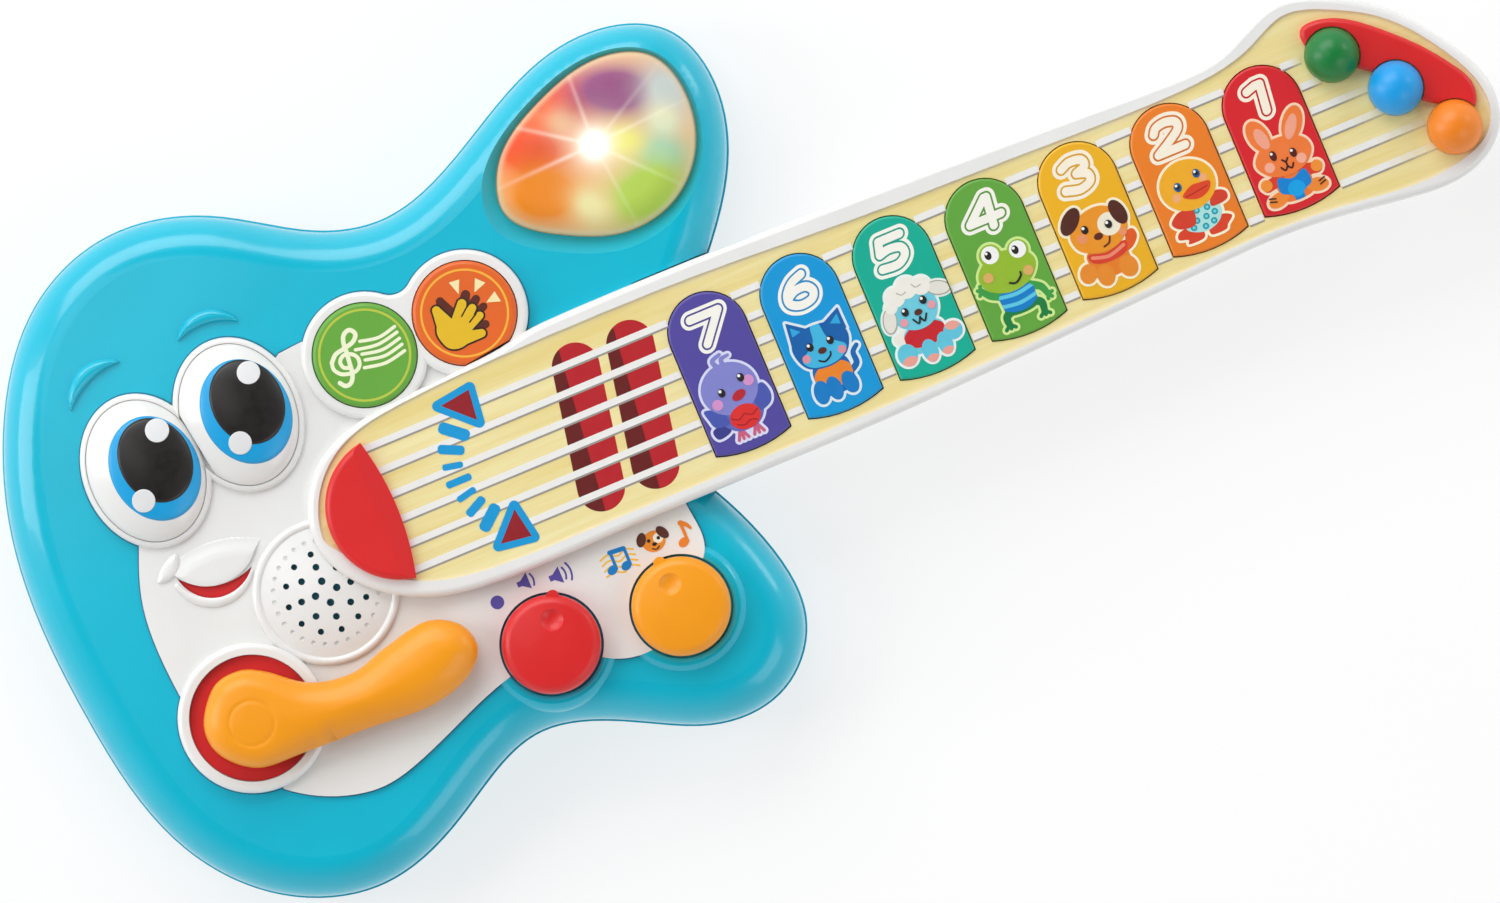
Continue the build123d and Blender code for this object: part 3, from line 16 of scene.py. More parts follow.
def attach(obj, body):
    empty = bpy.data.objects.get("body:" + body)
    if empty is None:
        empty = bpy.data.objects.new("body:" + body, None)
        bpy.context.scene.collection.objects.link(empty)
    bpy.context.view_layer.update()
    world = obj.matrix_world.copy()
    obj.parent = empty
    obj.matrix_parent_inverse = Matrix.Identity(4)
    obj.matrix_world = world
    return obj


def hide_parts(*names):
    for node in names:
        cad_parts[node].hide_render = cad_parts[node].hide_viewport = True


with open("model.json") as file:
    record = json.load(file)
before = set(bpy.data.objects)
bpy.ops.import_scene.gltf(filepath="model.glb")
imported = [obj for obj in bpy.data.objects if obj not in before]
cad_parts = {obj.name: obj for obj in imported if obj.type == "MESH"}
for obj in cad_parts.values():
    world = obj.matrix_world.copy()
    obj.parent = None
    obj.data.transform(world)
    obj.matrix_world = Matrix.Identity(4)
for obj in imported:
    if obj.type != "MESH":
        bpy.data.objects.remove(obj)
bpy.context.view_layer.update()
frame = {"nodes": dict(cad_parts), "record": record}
NODES = frame["nodes"]
MM = 0.001

# heights in the CAD frame
SHELL_Z = 32.0
PLATE_Z = 33.4
PANEL_Z = 37.2
KEY_Z = 38.0
BUTTON_Z = 36.2

# places in the CAD frame
EYES = {"eye_left": (-169.4, 32.9), "eye_right": (-139.9, 37.4)}
EYE_RADII = (16.0, 20.2, 7.0)
EYE_BASE_Z = PLATE_Z + 0.6
MUSIC_BUTTON = (-101.6, 39.2)
CLAP_BUTTON = (-71.8, 39.3)
KEY_PITCH = 27.43
KEY_7_X = -12.0
KEY_TOPS = [18.6, 18.7, 18.7, 19.2, 19.5, 19.7, 19.8]
KEY_HALF = 11.3
STRING_YS = (15.3, 8.1, 0.9, -6.3, -13.5, -20.7)
STRING_ENDS = (167, 170, 181, 184, 192, 193)
STRING_START = -112.6
VIEW_TURN = -22.61        # the picture's level line, in degrees from the neck's


# ================================================================ colours and materials
def linear(*channels):
    """Linear colour from 0-255 display values."""
    values = [channel / 255 for channel in channels]
    return (*[value / 12.92 if value <= 0.04045 else ((value + 0.055) / 1.055) ** 2.4 for value in values], 1.0)


WHITE = (250, 250, 248)
CREAM = (255, 246, 214)
BLACK = (28, 24, 24)


def cosine_sine(degrees):
    return math.cos(math.radians(degrees)), math.sin(math.radians(degrees))


class Shader:
    """A node tree with short calls for adding and joining nodes."""

    def __init__(self, name):
        self.material = bpy.data.materials.new(name)
        self.material.use_nodes = True
        self.tree = self.material.node_tree
        self.surface = self.tree.nodes["Principled BSDF"]

    def add(self, kind, settings=None, **inputs):
        """A new node; inputs are given by name, or as i0, i1 ... by number."""
        node = self.tree.nodes.new(kind)
        for key, value in (settings or {}).items():
            setattr(node, key, value)
        for key, value in inputs.items():
            socket = node.inputs[int(key[1:])] if key[0] == "i" and key[1:].isdigit() else node.inputs[key]
            if isinstance(value, bpy.types.NodeSocket):
                self.tree.links.new(value, socket)
            else:
                socket.default_value = value
        return node

    def math(self, operation, first, second=0.0):
        return self.add("ShaderNodeMath", {"operation": operation}, i0=first, i1=second).outputs[0]

    def plus(self, first, second):
        return self.math("ADD", first, second)

    def minus(self, first, second):
        return self.math("SUBTRACT", first, second)

    def times(self, first, second):
        return self.math("MULTIPLY", first, second)

    def mix(self, factor, first, second, blend="MIX"):
        node = self.add("ShaderNodeMix", {"data_type": "RGBA", "blend_type": blend}, i0=factor, i6=first, i7=second)
        return node.outputs[2]

    def remap(self, value, low, high, first=0.0, last=1.0, kind="LINEAR"):
        """The range low..high of the value becomes first..last, held at both ends."""
        return self.add("ShaderNodeMapRange", {"interpolation_type": kind}, i0=value, i1=low, i2=high, i3=first,
                        i4=last).outputs[0]

    def place(self):
        return self.add("ShaderNodeTexCoord").outputs["Object"]

    def millimetres(self, place):
        split = self.add("ShaderNodeSeparateXYZ", None, Vector=place)
        return [self.times(output, 1 / MM) for output in split.outputs]

    def noise(self, scale, detail=3.0, roughness=0.5, place=None):
        node = self.add("ShaderNodeTexNoise", None, Vector=place or self.place(), Scale=scale, Detail=detail,
                        Roughness=roughness)
        return node.outputs["Fac"]

    def link(self, **outputs):
        for name, output in outputs.items():
            self.tree.links.new(output, self.surface.inputs[name.replace("_", " ")])

    def set(self, **values):
        for name, value in values.items():
            self.surface.inputs[name.replace("_", " ")].default_value = value

    def bump(self, height, strength, distance):
        node = self.add("ShaderNodeBump", None, Strength=strength, Distance=distance, Height=height)
        self.link(Normal=node.outputs[0])


def shaded(colour, amount):
    return tuple(max(0, min(255, channel * amount)) for channel in colour)


def plastic(name, colour, rough=0.24, coat=0.4):
    """Moulded plastic: faint flow marks in the colour, uneven gloss, and a fine skin texture."""
    shader = Shader(name)
    base = shader.mix(shader.noise(38, 4, 0.55), linear(*shaded(colour, 0.96)), linear(*shaded(colour, 1.024)))
    speck = shader.remap(shader.noise(900, 2), 0.62, 0.8)
    shader.link(Base_Color=shader.mix(shader.times(speck, 0.03), base, linear(*shaded(colour, 0.86))),
                Roughness=shader.remap(shader.noise(120, 3), 0.3, 0.7, rough * 0.95, rough * 1.08))
    shader.set(Coat_Weight=coat, Coat_Roughness=0.07)
    shader.bump(shader.plus(shader.noise(70, 2), shader.times(shader.noise(2600, 2), 0.12)), 0.1, 0.0001)
    return shader.material


def metal(name, colour, rough=0.3):
    """Plated steel with faint turning marks."""
    shader = Shader(name)
    marks = shader.noise(1500, 3)
    shader.link(Base_Color=shader.mix(marks, linear(*shaded(colour, 0.85)), linear(*colour)),
                Roughness=shader.remap(marks, 0.2, 0.8, rough * 0.7, rough * 1.3))
    shader.set(Metallic=1.0)
    shader.bump(marks, 0.2, 0.00003)
    return shader.material


def matte(name, colour, rough, scale=700):
    """Board, rubber, paper and tape: a matt skin with a visible grain."""
    shader = Shader(name)
    grain = shader.noise(scale, 4, 0.6)
    shader.link(Base_Color=shader.mix(grain, linear(*shaded(colour, 0.88)), linear(*shaded(colour, 1.12))),
                Roughness=shader.remap(grain, 0.2, 0.8, rough * 0.85, rough * 1.1))
    shader.bump(grain, 0.5, 0.00004)
    return shader.material


def ink_material():
    """Pad-printed ink: the piece's own colours, slightly uneven, with a soft sheen."""
    shader = Shader("printed_ink")
    colours = shader.add("ShaderNodeVertexColor", {"layer_name": "Ink"}).outputs["Color"]
    patch = shader.noise(420, 3)
    tint = shader.mix(patch, (0.93, 0.93, 0.93, 1), (1.0, 1.0, 1.0, 1))
    shader.link(Base_Color=shader.mix(1.0, colours, tint, "MULTIPLY"),
                Roughness=shader.remap(patch, 0.3, 0.7, 0.34, 0.46))
    shader.set(Coat_Weight=0.2, Coat_Roughness=0.2)
    shader.bump(shader.noise(1800, 2), 0.2, 0.00002)
    return shader.material


PANEL_LEFT, PANEL_RIGHT = -131.6, 210.0
PANEL_DEEP = 60.0         # the panel's edges lie within half of this on both sides of the middle line
PANEL_UPPER = [(-131.6, -2), (-128, 8.3), (-122, 15.3), (-113, 20.3), (-100, 22.8), (-40, 24.8), (20, 22.9),
               (80, 20.8), (130, 19.8), (156, 24), (167, 28.3), (180, 24.8), (192, 17.6), (204, 3.2), (210, -12)]
PANEL_LOWER = [(-131.6, -3), (-129, -8), (-123.4, -14.7), (-115.5, -21.7), (-105, -26.3), (-90, -28.4), (-60, -28.9),
               (20, -28.9), (110, -26.5), (148, -25.5), (186, -28.6), (198.7, -27), (206.6, -23.2), (210, -15)]


def panel_edge(shader, x, points):
    """The height y of the panel's edge at x, on a smooth curve through the points."""
    node = shader.add("ShaderNodeFloatCurve", None, i0=1.0, i1=shader.remap(x, PANEL_LEFT, PANEL_RIGHT))
    curve = node.mapping.curves[0]
    while len(curve.points) < len(points):
        curve.points.new(0.5, 0.5)
    for point, (u, v) in zip(curve.points, points):
        point.location = ((u - PANEL_LEFT) / (PANEL_RIGHT - PANEL_LEFT), v / PANEL_DEEP + 0.5)
    node.mapping.update()
    return shader.times(shader.minus(node.outputs[0], 0.5), PANEL_DEEP)


def panel_material():
    """Pale yellow printed wood: streaks along the neck, fading to cream at the panel's edge."""
    shader = Shader("panel_print")
    place = shader.place()
    stretched = shader.add("ShaderNodeMapping", None, Vector=place, Scale=(0.06, 1.0, 1.0)).outputs[0]
    fine = shader.noise(700, 4, 0.65, stretched)
    streak = shader.plus(shader.times(shader.noise(130, 5, 0.6, stretched), 0.65), shader.times(fine, 0.35))
    wood = shader.mix(shader.remap(streak, 0.36, 0.64), linear(236, 215, 138), linear(246, 234, 176))
    x, y, _ = shader.millimetres(place)
    edge = shader.math("MINIMUM", shader.minus(panel_edge(shader, x, PANEL_UPPER), y),
                       shader.minus(y, panel_edge(shader, x, PANEL_LOWER)))
    for side in (shader.minus(x, PANEL_LEFT), shader.minus(PANEL_RIGHT, x)):
        edge = shader.math("MINIMUM", edge, side)
    inner = shader.remap(edge, 0.0, 1.5, kind="SMOOTHSTEP")
    shader.link(Base_Color=shader.mix(inner, linear(248, 234, 190), wood),
                Roughness=shader.remap(fine, 0.3, 0.7, 0.32, 0.44))
    shader.set(Coat_Weight=0.25, Coat_Roughness=0.2)
    shader.bump(fine, 0.25, 0.00003)
    return shader.material


LAMP_SPOTS = [  # centre, radii, turn in degrees, display colour, strength of the patch
    ((-38.0, 73.5), (11, 8.5), -22, (240, 76, 40), 1.2), ((-25.5, 84.0), (12, 7), -22, (244, 100, 50), 1.15),
    ((-38.8, 60.8), (11.5, 8.5), -22, (246, 142, 24), 1.3), ((-34.0, 79.5), (6, 4), -30, (246, 112, 70), 0.8),
    ((-27.2, 77.4), (4.4, 4.4), 0, (252, 196, 148), 0.8), ((-10.0, 79.8), (12.5, 7.4), -24, (160, 88, 138), 1.25),
    ((2.6, 74.4), (6.5, 8), 0, (208, 218, 214), 1.0), ((-1.0, 67.2), (5, 5), 0, (242, 242, 204), 1.0),
    ((-5.0, 58.8), (7.5, 6), -40, (172, 220, 196), 1.0), ((-13.1, 50.8), (11.5, 8), 10, (184, 218, 84), 1.25),
    ((-28.4, 53.0), (5, 6.5), 20, (246, 236, 172), 0.9), ((-13.2, 66.2), (6, 4.6), -22, (250, 244, 120), 0.9),
]
LAMP_RAYS = [(145, 0.42), (182, 0.42), (88, 0.3), (29, 0.2), (4, 0.28), (-47, 0.24), (-84, 0.16)]  # turn, strength
LAMP_CENTRE = (-21.1, 68.3)


def lamp_material():
    """Frosted clear dome, lit from inside by coloured lamps that melt into one another round a white hot spot."""
    shader = Shader("lamp_glow")
    wobble = shader.noise(160, 3)
    x, y, height = shader.millimetres(shader.place())

    def along(centre, c, s):
        """The distance from the centre along the direction (c, s)."""
        return shader.plus(shader.times(shader.minus(x, centre[0]), c), shader.times(shader.minus(y, centre[1]), s))

    def patch(centre, radii, turn=0):
        """1 in the middle of a tilted oval, falling smoothly to 0."""
        c, s = cosine_sine(turn)
        u, v = along(centre, c / radii[0], s / radii[0]), along(centre, -s / radii[1], c / radii[1])
        return shader.math("EXPONENT", shader.times(shader.plus(shader.times(u, u), shader.times(v, v)), -1.1))

    def ray(direction, strength):
        """A thin beam from the centre outwards."""
        c, s = cosine_sine(direction)
        aside = along(LAMP_CENTRE, s, -c)
        width = shader.math("EXPONENT", shader.times(shader.times(aside, aside), -2.6))
        return shader.times(width, shader.remap(along(LAMP_CENTRE, c, s), 3.0, 8.0, 0.0, strength))

    colour = linear(250, 206, 150)
    for centre, radii, turn, shade, weight in LAMP_SPOTS:
        amount = shader.math("MINIMUM", shader.times(patch(centre, radii, turn), weight * 1.25), 1.0)
        colour = shader.mix(amount, colour, linear(*shade))
    rim = shader.remap(height, 31.0, 34.6, 0.6, 0.0, "SMOOTHSTEP")
    colour = shader.mix(rim, colour, linear(252, 224, 182))
    star = ray(*LAMP_RAYS[0])
    for beam in LAMP_RAYS[1:]:
        star = shader.math("MAXIMUM", star, ray(*beam))
    star = shader.times(star, patch(LAMP_CENTRE, (24, 24)))
    core = shader.times(patch(LAMP_CENTRE, (4.2, 4.2)), 1.25)
    halo = shader.times(patch(LAMP_CENTRE, (8.5, 8.5)), 0.4)
    white = shader.math("MINIMUM", shader.plus(shader.plus(core, halo), star), 1.0)
    colour = shader.mix(white, colour, linear(255, 253, 240))
    colour = shader.mix(shader.times(wobble, 0.06), colour, linear(255, 236, 220))
    shader.link(Base_Color=shader.mix(1.0, colour, (0.7, 0.7, 0.7, 1), "MULTIPLY"), Emission_Color=colour,
                Emission_Strength=shader.plus(shader.times(white, 0.3), 0.24))
    shader.set(Roughness=0.6, Specular_IOR_Level=0.12)
    shader.bump(shader.noise(300, 2), 0.15, 0.0001)
    return shader.material


PALETTE = {
    "blue_shell": (0, 188, 216), "white_plastic": (240, 240, 238), "red_plastic": (224, 34, 36),
    "amber_plastic": (255, 160, 12), "green_plastic": (104, 172, 62), "orange_plastic": (232, 104, 34),
    "ball_green": (0, 124, 54), "ball_blue": (10, 162, 236), "ball_orange": (248, 136, 24),
    "key_red": (220, 32, 42), "key_orange": (238, 128, 34), "key_amber": (240, 180, 28), "key_green": (98, 168, 62),
    "key_teal": (0, 176, 150), "key_blue": (0, 154, 220), "key_violet": (82, 72, 160),
}
GLOSSY = ("blue_shell", "white_plastic")
MATERIALS = {name: plastic(name, colour) if name in GLOSSY else plastic(name, colour, 0.38, 0.1)
             for name, colour in PALETTE.items()}
for name, colour, rough, coat in (
        ("reflector_white", (236, 236, 232), 0.4, 0.0), ("black_plastic", (30, 30, 32), 0.45, 0.0),
        ("cell_wrap", (44, 62, 74), 0.35, 0.1), ("led_lens", (240, 240, 225), 0.15, 0.5),
        ("cable_jacket", (196, 60, 52), 0.5, 0.0), ("film", (222, 206, 150), 0.3, 0.2)):
    MATERIALS[name] = plastic(name, colour, rough, coat)
MATERIALS.update({
    "yellow_panel": panel_material(),
    "lamp_clear": lamp_material(),
    "steel": metal("steel", (190, 190, 192)),
    "board_green": matte("board_green", (24, 96, 52), 0.45),
    "silicone": matte("silicone", (150, 152, 156), 0.6),
    "speaker_paper": matte("speaker_paper", (38, 38, 40), 0.85, 1600),
})
INK = ink_material()

SLOT_OF = {part["node"]: part["material_slot"] for part in frame["record"]["subparts"]}
for name, node in NODES.items():
    node.data.materials.clear()
    node.data.materials.append(MATERIALS[SLOT_OF[name]])


# ================================================================ flat shapes as signed distances
def disc(x0, y0, radius):
    return lambda x, y: np.hypot(x - x0, y - y0) - radius


def oval(x0, y0, rx, ry, tilt=0):
    c, s = cosine_sine(tilt)

    def distance(x, y):
        u, v = (x - x0) * c + (y - y0) * s, (y - y0) * c - (x - x0) * s
        reach = np.hypot(u / rx, v / ry)
        slope = np.hypot(u / rx ** 2, v / ry ** 2) + 1e-9
        return reach * (reach - 1) / slope
    return distance


def smooth_path(points, closed, steps=7):
    """Points of a curve through the given ones."""
    given = [Vector(point) for point in points]
    count = len(given)
    result = []
    for i in range(count if closed else count - 1):
        a, b, c, d = (given[(i + k) % count if closed else min(max(i + k, 0), count - 1)] for k in (-1, 0, 1, 2))
        for step in range(steps):
            t = step / steps
            result.append(0.5 * (2 * b + (c - a) * t + (2 * a - 5 * b + 4 * c - d) * t ** 2
                                 + (3 * b - a - 3 * c + d) * t ** 3))
    if not closed:
        result.append(given[-1])
    return [tuple(point) for point in result]


def to_segment(x, y, start, end):
    """How far along the segment (0 to 1) the nearest place to each (x, y) lies, and its distance."""
    ex, ey = end - start
    wx, wy = x - start[0], y - start[1]
    t = np.clip((wx * ex + wy * ey) / (ex * ex + ey * ey), 0, 1)
    return t, np.hypot(wx - ex * t, wy - ey * t)


def polygon(points):
    corners = np.array(points, float)

    def distance(x, y):
        nearest = np.full(x.shape, 1e9)
        inside = np.zeros(x.shape, bool)
        for start, end in zip(corners, np.roll(corners, -1, 0)):
            nearest = np.minimum(nearest, to_segment(x, y, start, end)[1])
            (x0, y0), (x1, y1) = start, end
            if y0 != y1:
                inside ^= ((y0 <= y) != (y1 <= y)) & (x < x0 + (x1 - x0) * (y - y0) / (y1 - y0))
        return np.where(inside, -1, 1) * nearest
    return distance


def blob(*points):
    return polygon(smooth_path(points, True))


def stroke(points, width, end_width=None, curved=True):
    """A line with round ends, which may taper."""
    path = np.array(smooth_path(points, False) if curved and len(points) > 2 else points, float)
    widths = np.linspace(width, end_width or width, len(path)) / 2

    def distance(x, y):
        nearest = np.full(x.shape, 1e9)
        for start, end, w0, w1 in zip(path, path[1:], widths, widths[1:]):
            t, far = to_segment(x, y, start, end)
            nearest = np.minimum(nearest, far - w0 - (w1 - w0) * t)
        return nearest
    return distance


def join(*shapes):
    return lambda x, y: np.minimum.reduce([shape(x, y) for shape in shapes])


def both(*shapes):
    return lambda x, y: np.maximum.reduce([shape(x, y) for shape in shapes])


def cut(shape, *removed):
    return lambda x, y: np.maximum.reduce([shape(x, y)] + [-other(x, y) for other in removed])


def grow(shape, amount):
    return lambda x, y: shape(x, y) - amount


def ring(shape, width):
    return lambda x, y: np.abs(shape(x, y)) - width / 2


def moved(shape, dx, dy, scale=1.0, turn=0.0):
    c, s = cosine_sine(turn)

    def distance(x, y):
        u, v = x - dx, y - dy
        return shape((u * c + v * s) / scale, (v * c - u * s) / scale) * scale
    return distance


def slanted(shape, slope):
    """The shape leaning to the right, as italic numerals do."""
    return lambda x, y: shape(x - slope * y, y)


# Corner bits 1 2 4 8 go round a cell from its low corner. Its sides are 0 bottom, 1 right, 2 top and 3 left.
EDGE_PAIRS = {
    1: ((0, 3),), 2: ((1, 0),), 3: ((1, 3),), 4: ((2, 1),), 5: ((0, 3), (2, 1)), 6: ((2, 0),), 7: ((2, 3),),
    8: ((3, 2),), 9: ((0, 2),), 10: ((1, 0), (3, 2)), 11: ((1, 2),), 12: ((3, 1),), 13: ((0, 1),), 14: ((3, 0),),
}


def closed_runs(following):
    """Lists of keys in which each key's value comes next; takes them out of the dictionary."""
    runs = []
    while following:
        key = next(iter(following))
        runs.append([])
        while key in following:
            runs[-1].append(key)
            key = following.pop(key)
    return runs


def contours(field, xs, ys, level=0.0):
    """Closed loops round the places where the field is below the level."""
    field = field - level
    field[0, :] = field[-1, :] = np.maximum(field[0, :], 1e-3)
    field[:, 0] = field[:, -1] = np.maximum(np.maximum(field[:, 0], field[:, -1]), 1e-3)
    inside = (field < 0).astype(int)
    code = inside[:-1, :-1] + 2 * inside[:-1, 1:] + 4 * inside[1:, 1:] + 8 * inside[1:, :-1]
    following, places = {}, {}
    for row, column in np.argwhere((code > 0) & (code < 15)):
        sides = ((0, row, column), (1, row, column + 1), (0, row + 1, column), (1, row, column))
        for start, end in EDGE_PAIRS[code[row, column]]:
            following[sides[start]] = sides[end]
    for upright, row, column in following:
        end_row, end_column = row + upright, column + 1 - upright
        a, b = field[row, column], field[end_row, end_column]
        t = min(max(a / (a - b), 0.02), 0.98)
        places[(upright, row, column)] = (xs[column] + t * (xs[end_column] - xs[column]),
                                          ys[row] + t * (ys[end_row] - ys[row]))
    loops = [simplified([places[side] for side in loop]) for loop in closed_runs(following)]
    return [loop for loop in loops if len(loop) > 3]


def simplified(loop, tolerance=0.012):
    points = np.array(loop)
    for sweep in range(4):
        before, after = np.roll(points, 1, 0), np.roll(points, -1, 0)
        chord = after - before
        length = np.hypot(*chord.T) + 1e-12
        off = np.abs(chord[:, 0] * (points - before)[:, 1] - chord[:, 1] * (points - before)[:, 0]) / length
        drop = (off < tolerance) & (np.arange(len(points)) % 2 == sweep % 2)
        if len(points) - drop.sum() < 8:
            break
        points = points[~drop]
    return points


def add_part(vertices, faces, part):
    """Adds another part, (its vertices, its faces), to lists of them."""
    faces += [tuple(i + len(vertices) for i in face) for face in part[1]]
    vertices += list(part[0])


def make_piece(name, vertices, faces, body, slot, colours=(), smooth=False):
    """A visible piece on a body: of the slot's material, or of ink when it has colours."""
    mesh = bpy.data.meshes.new(name)
    mesh.from_pydata((np.array(vertices) * MM).tolist(), [], [tuple(int(i) for i in face) for face in faces])
    mesh.validate()
    mesh.update()
    if smooth:
        mesh.polygons.foreach_set("use_smooth", [True] * len(mesh.polygons))
    mesh.materials.append(INK if colours else MATERIALS[slot])
    if colours:
        layer = mesh.color_attributes.new(name="Ink", type="FLOAT_COLOR", domain="POINT")
        layer.data.foreach_set("color", np.array(colours, np.float32).ravel())
    piece = bpy.data.objects.new(name, mesh)
    bpy.context.scene.collection.objects.link(piece)
    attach(piece, body)
    return piece


def filled(loops, low, high):
    """A flat solid with the given outlines, as vertices and faces."""
    curve = bpy.data.curves.new("fill", "CURVE")
    curve.dimensions = "2D"
    curve.fill_mode = "BOTH"
    curve.extrude = (high - low) / 2
    for loop in loops:
        spline = curve.splines.new("POLY")
        spline.points.add(len(loop) - 1)
        spline.points.foreach_set("co", np.c_[loop, np.zeros(len(loop)), np.ones(len(loop))].ravel())
        spline.use_cyclic_u = True
    holder = bpy.data.objects.new("fill", curve)
    mesh = bpy.data.meshes.new_from_object(holder)
    vertices = np.array([vertex.co for vertex in mesh.vertices])
    faces = [tuple(face.vertices) for face in mesh.polygons]
    bpy.data.objects.remove(holder)
    bpy.data.curves.remove(curve)
    bpy.data.meshes.remove(mesh)
    if len(vertices):
        vertices[:, 2] += (high + low) / 2
    return vertices, faces


LAYER = 0.02       # each ink layer lies this much above the last
SUNK = 0.05        # and starts this far inside the surface


def print_picture(name, layers, window, surface, body, slot, step=0.12, first=1):
    """Prints layers of (shape, colour) on a flat surface; later layers lie over earlier ones."""
    x_low, x_high, y_low, y_high = window
    xs = np.arange(x_low, x_high + step, step)
    ys = np.arange(y_low, y_high + step, step)
    grid_x, grid_y = np.meshgrid(xs, ys)
    vertices, faces, colours = [], [], []
    for index, (shape, colour) in enumerate(layers):
        loops = contours(shape(grid_x, grid_y), xs, ys)
        if not loops:
            continue
        film = filled(loops, surface - SUNK, surface + LAYER * (index + first))
        add_part(vertices, faces, film)
        colours += [linear(*colour)] * len(film[0])
    make_piece(name, vertices, faces, body, slot, colours)


# ================================================================ pictures on the keys
# Each picture is a list of (shape, colour) layers, from the lowest to the highest.
def outlined(silhouette, line=CREAM):
    return (grow(silhouette, 0.75), line)


def dots(colour, *places):
    """A layer for each round spot (x, y, radius)."""
    return [(disc(*place), colour) for place in places]


def eye(x, y):
    return [(oval(x, y, 1.0625, 1.25), BLACK), (disc(x - 0.3, y + 0.5625, 0.45), WHITE)]


def bird():
    head = oval(-0.6, -7.2, 8.4, 7.6)
    crest = join(stroke([(-1.8, 0.2), (-2.2, 2.0), (0.4, 3.0)], 1.6, 1.0),
                 stroke([(0.2, 0.0), (0.4, 1.6), (2.6, 2.0)], 1.5, 0.9))
    wings = join(blob((-5.5, -12.4), (-9.9, -10.6), (-9.6, -13.6), (-8.4, -16.4), (-4.2, -16.6)),
                 blob((5.2, -11.0), (8.6, -9.0), (10.0, -12.4), (8.8, -15.4), (5.0, -16.2)))
    body = blob((-5.6, -11.5), (0, -13), (6.2, -11.5), (6.6, -16), (3.4, -19.6), (-2.6, -19.8), (-6.4, -16))
    tail = blob((-4.6, -16.2), (-9.6, -16.8), (-9.0, -19.8), (-5.0, -19.0))
    feet = join(*[stroke([(x + dx, -19), (x + dx * 1.6 + tip, -22.2)], 0.95)
                  for x in (-2.2, 2.6) for dx, tip in ((0, -1.5), (0, 0), (0, 1.5))])
    feathers = [stroke([(-3.4, -15.6), (-1.4, -16.6), (0.6, -15.6), (2.6, -16.6), (4.6, -15.6)], 0.45),
                stroke([(-2.4, -17.8), (-0.4, -18.6), (1.6, -17.8), (3.4, -18.4)], 0.45)]
    return [outlined(join(head, crest, wings, body, tail, feet), (222, 224, 250)), (tail, (54, 58, 140)),
            (feet, (206, 96, 128)), (body, (96, 106, 190)), (wings, (72, 88, 178)),
            (join(head, crest), (132, 134, 208)), (oval(0.6, -16.4, 4.6, 3.6), (226, 44, 40)),
            *[(feather, (176, 24, 34)) for feather in feathers],
            *dots((216, 150, 206), (-5.6, -10.4, 1.6), (5.4, -7.0, 1.6)),
            (oval(1.2, -10.0, 2.2, 1.35, 18), (190, 32, 44)), *eye(-3.2, -7.6), *eye(3.6, -5.4)]


def cat():
    head = blob((-8.6, -4.6), (-6.0, -0.6), (0, 0.4), (6.4, -1.2), (8.4, -5.6), (5.8, -10.6), (0, -12.4), (-6.4, -10.6))
    ears = join(polygon([(-8.2, -3), (-7.4, 3.9), (-1.8, -0.2)]), polygon([(2.2, -0.4), (8.4, 2.6), (8.6, -4)]))
    inner_ears = join(polygon([(-7.0, -0.6), (-6.7, 2.2), (-4.2, 0.0)]),
                      polygon([(4.6, -1.0), (7.5, 1.0), (7.5, -2.2)]))
    body = blob((-4.4, -10.8), (4.4, -10.8), (5.6, -16), (4.4, -20.2), (-4.6, -20.2), (-5.8, -16))
    legs = join(oval(-5.2, -18.6, 2.3, 3.5, -8), oval(-1.2, -18.8, 2.2, 3.6, 4), oval(3.6, -18.8, 2.3, 3.4, 8))
    tail = stroke([(4.8, -16), (7.4, -14.4), (7.6, -11.2), (9.3, -9.6)], 2.0, 1.3)
    muzzle = blob((-1.2, 0.2), (1.4, 0.2), (2.4, -4.4), (6.6, -8.2), (4.4, -11.0), (0, -12.0), (-5.0, -10.9),
                  (-6.8, -8.0), (-2.2, -4.4))
    return [outlined(join(head, ears, body, legs, tail), (226, 240, 246)), (join(body, tail), (0, 102, 178)),
            (both(body, oval(0, -15, 5.8, 3.8)), (240, 134, 36)), (legs, (0, 124, 200)),
            (join(head, ears), (0, 96, 172)), (inner_ears, (40, 168, 226)), (both(muzzle, head), (64, 184, 228)),
            *dots((226, 146, 160), (-5.6, -8.0, 1.2), (5.0, -9.2, 1.2)), (oval(-0.4, -7.4, 1.3, 0.95), (86, 36, 26)),
            (stroke([(-2.4, -9.8), (-0.8, -10.6), (1.2, -9.6), (1.6, -8.6)], 0.5), BLACK),
            *eye(-3.4, -5.2), *eye(2.8, -5.4)]


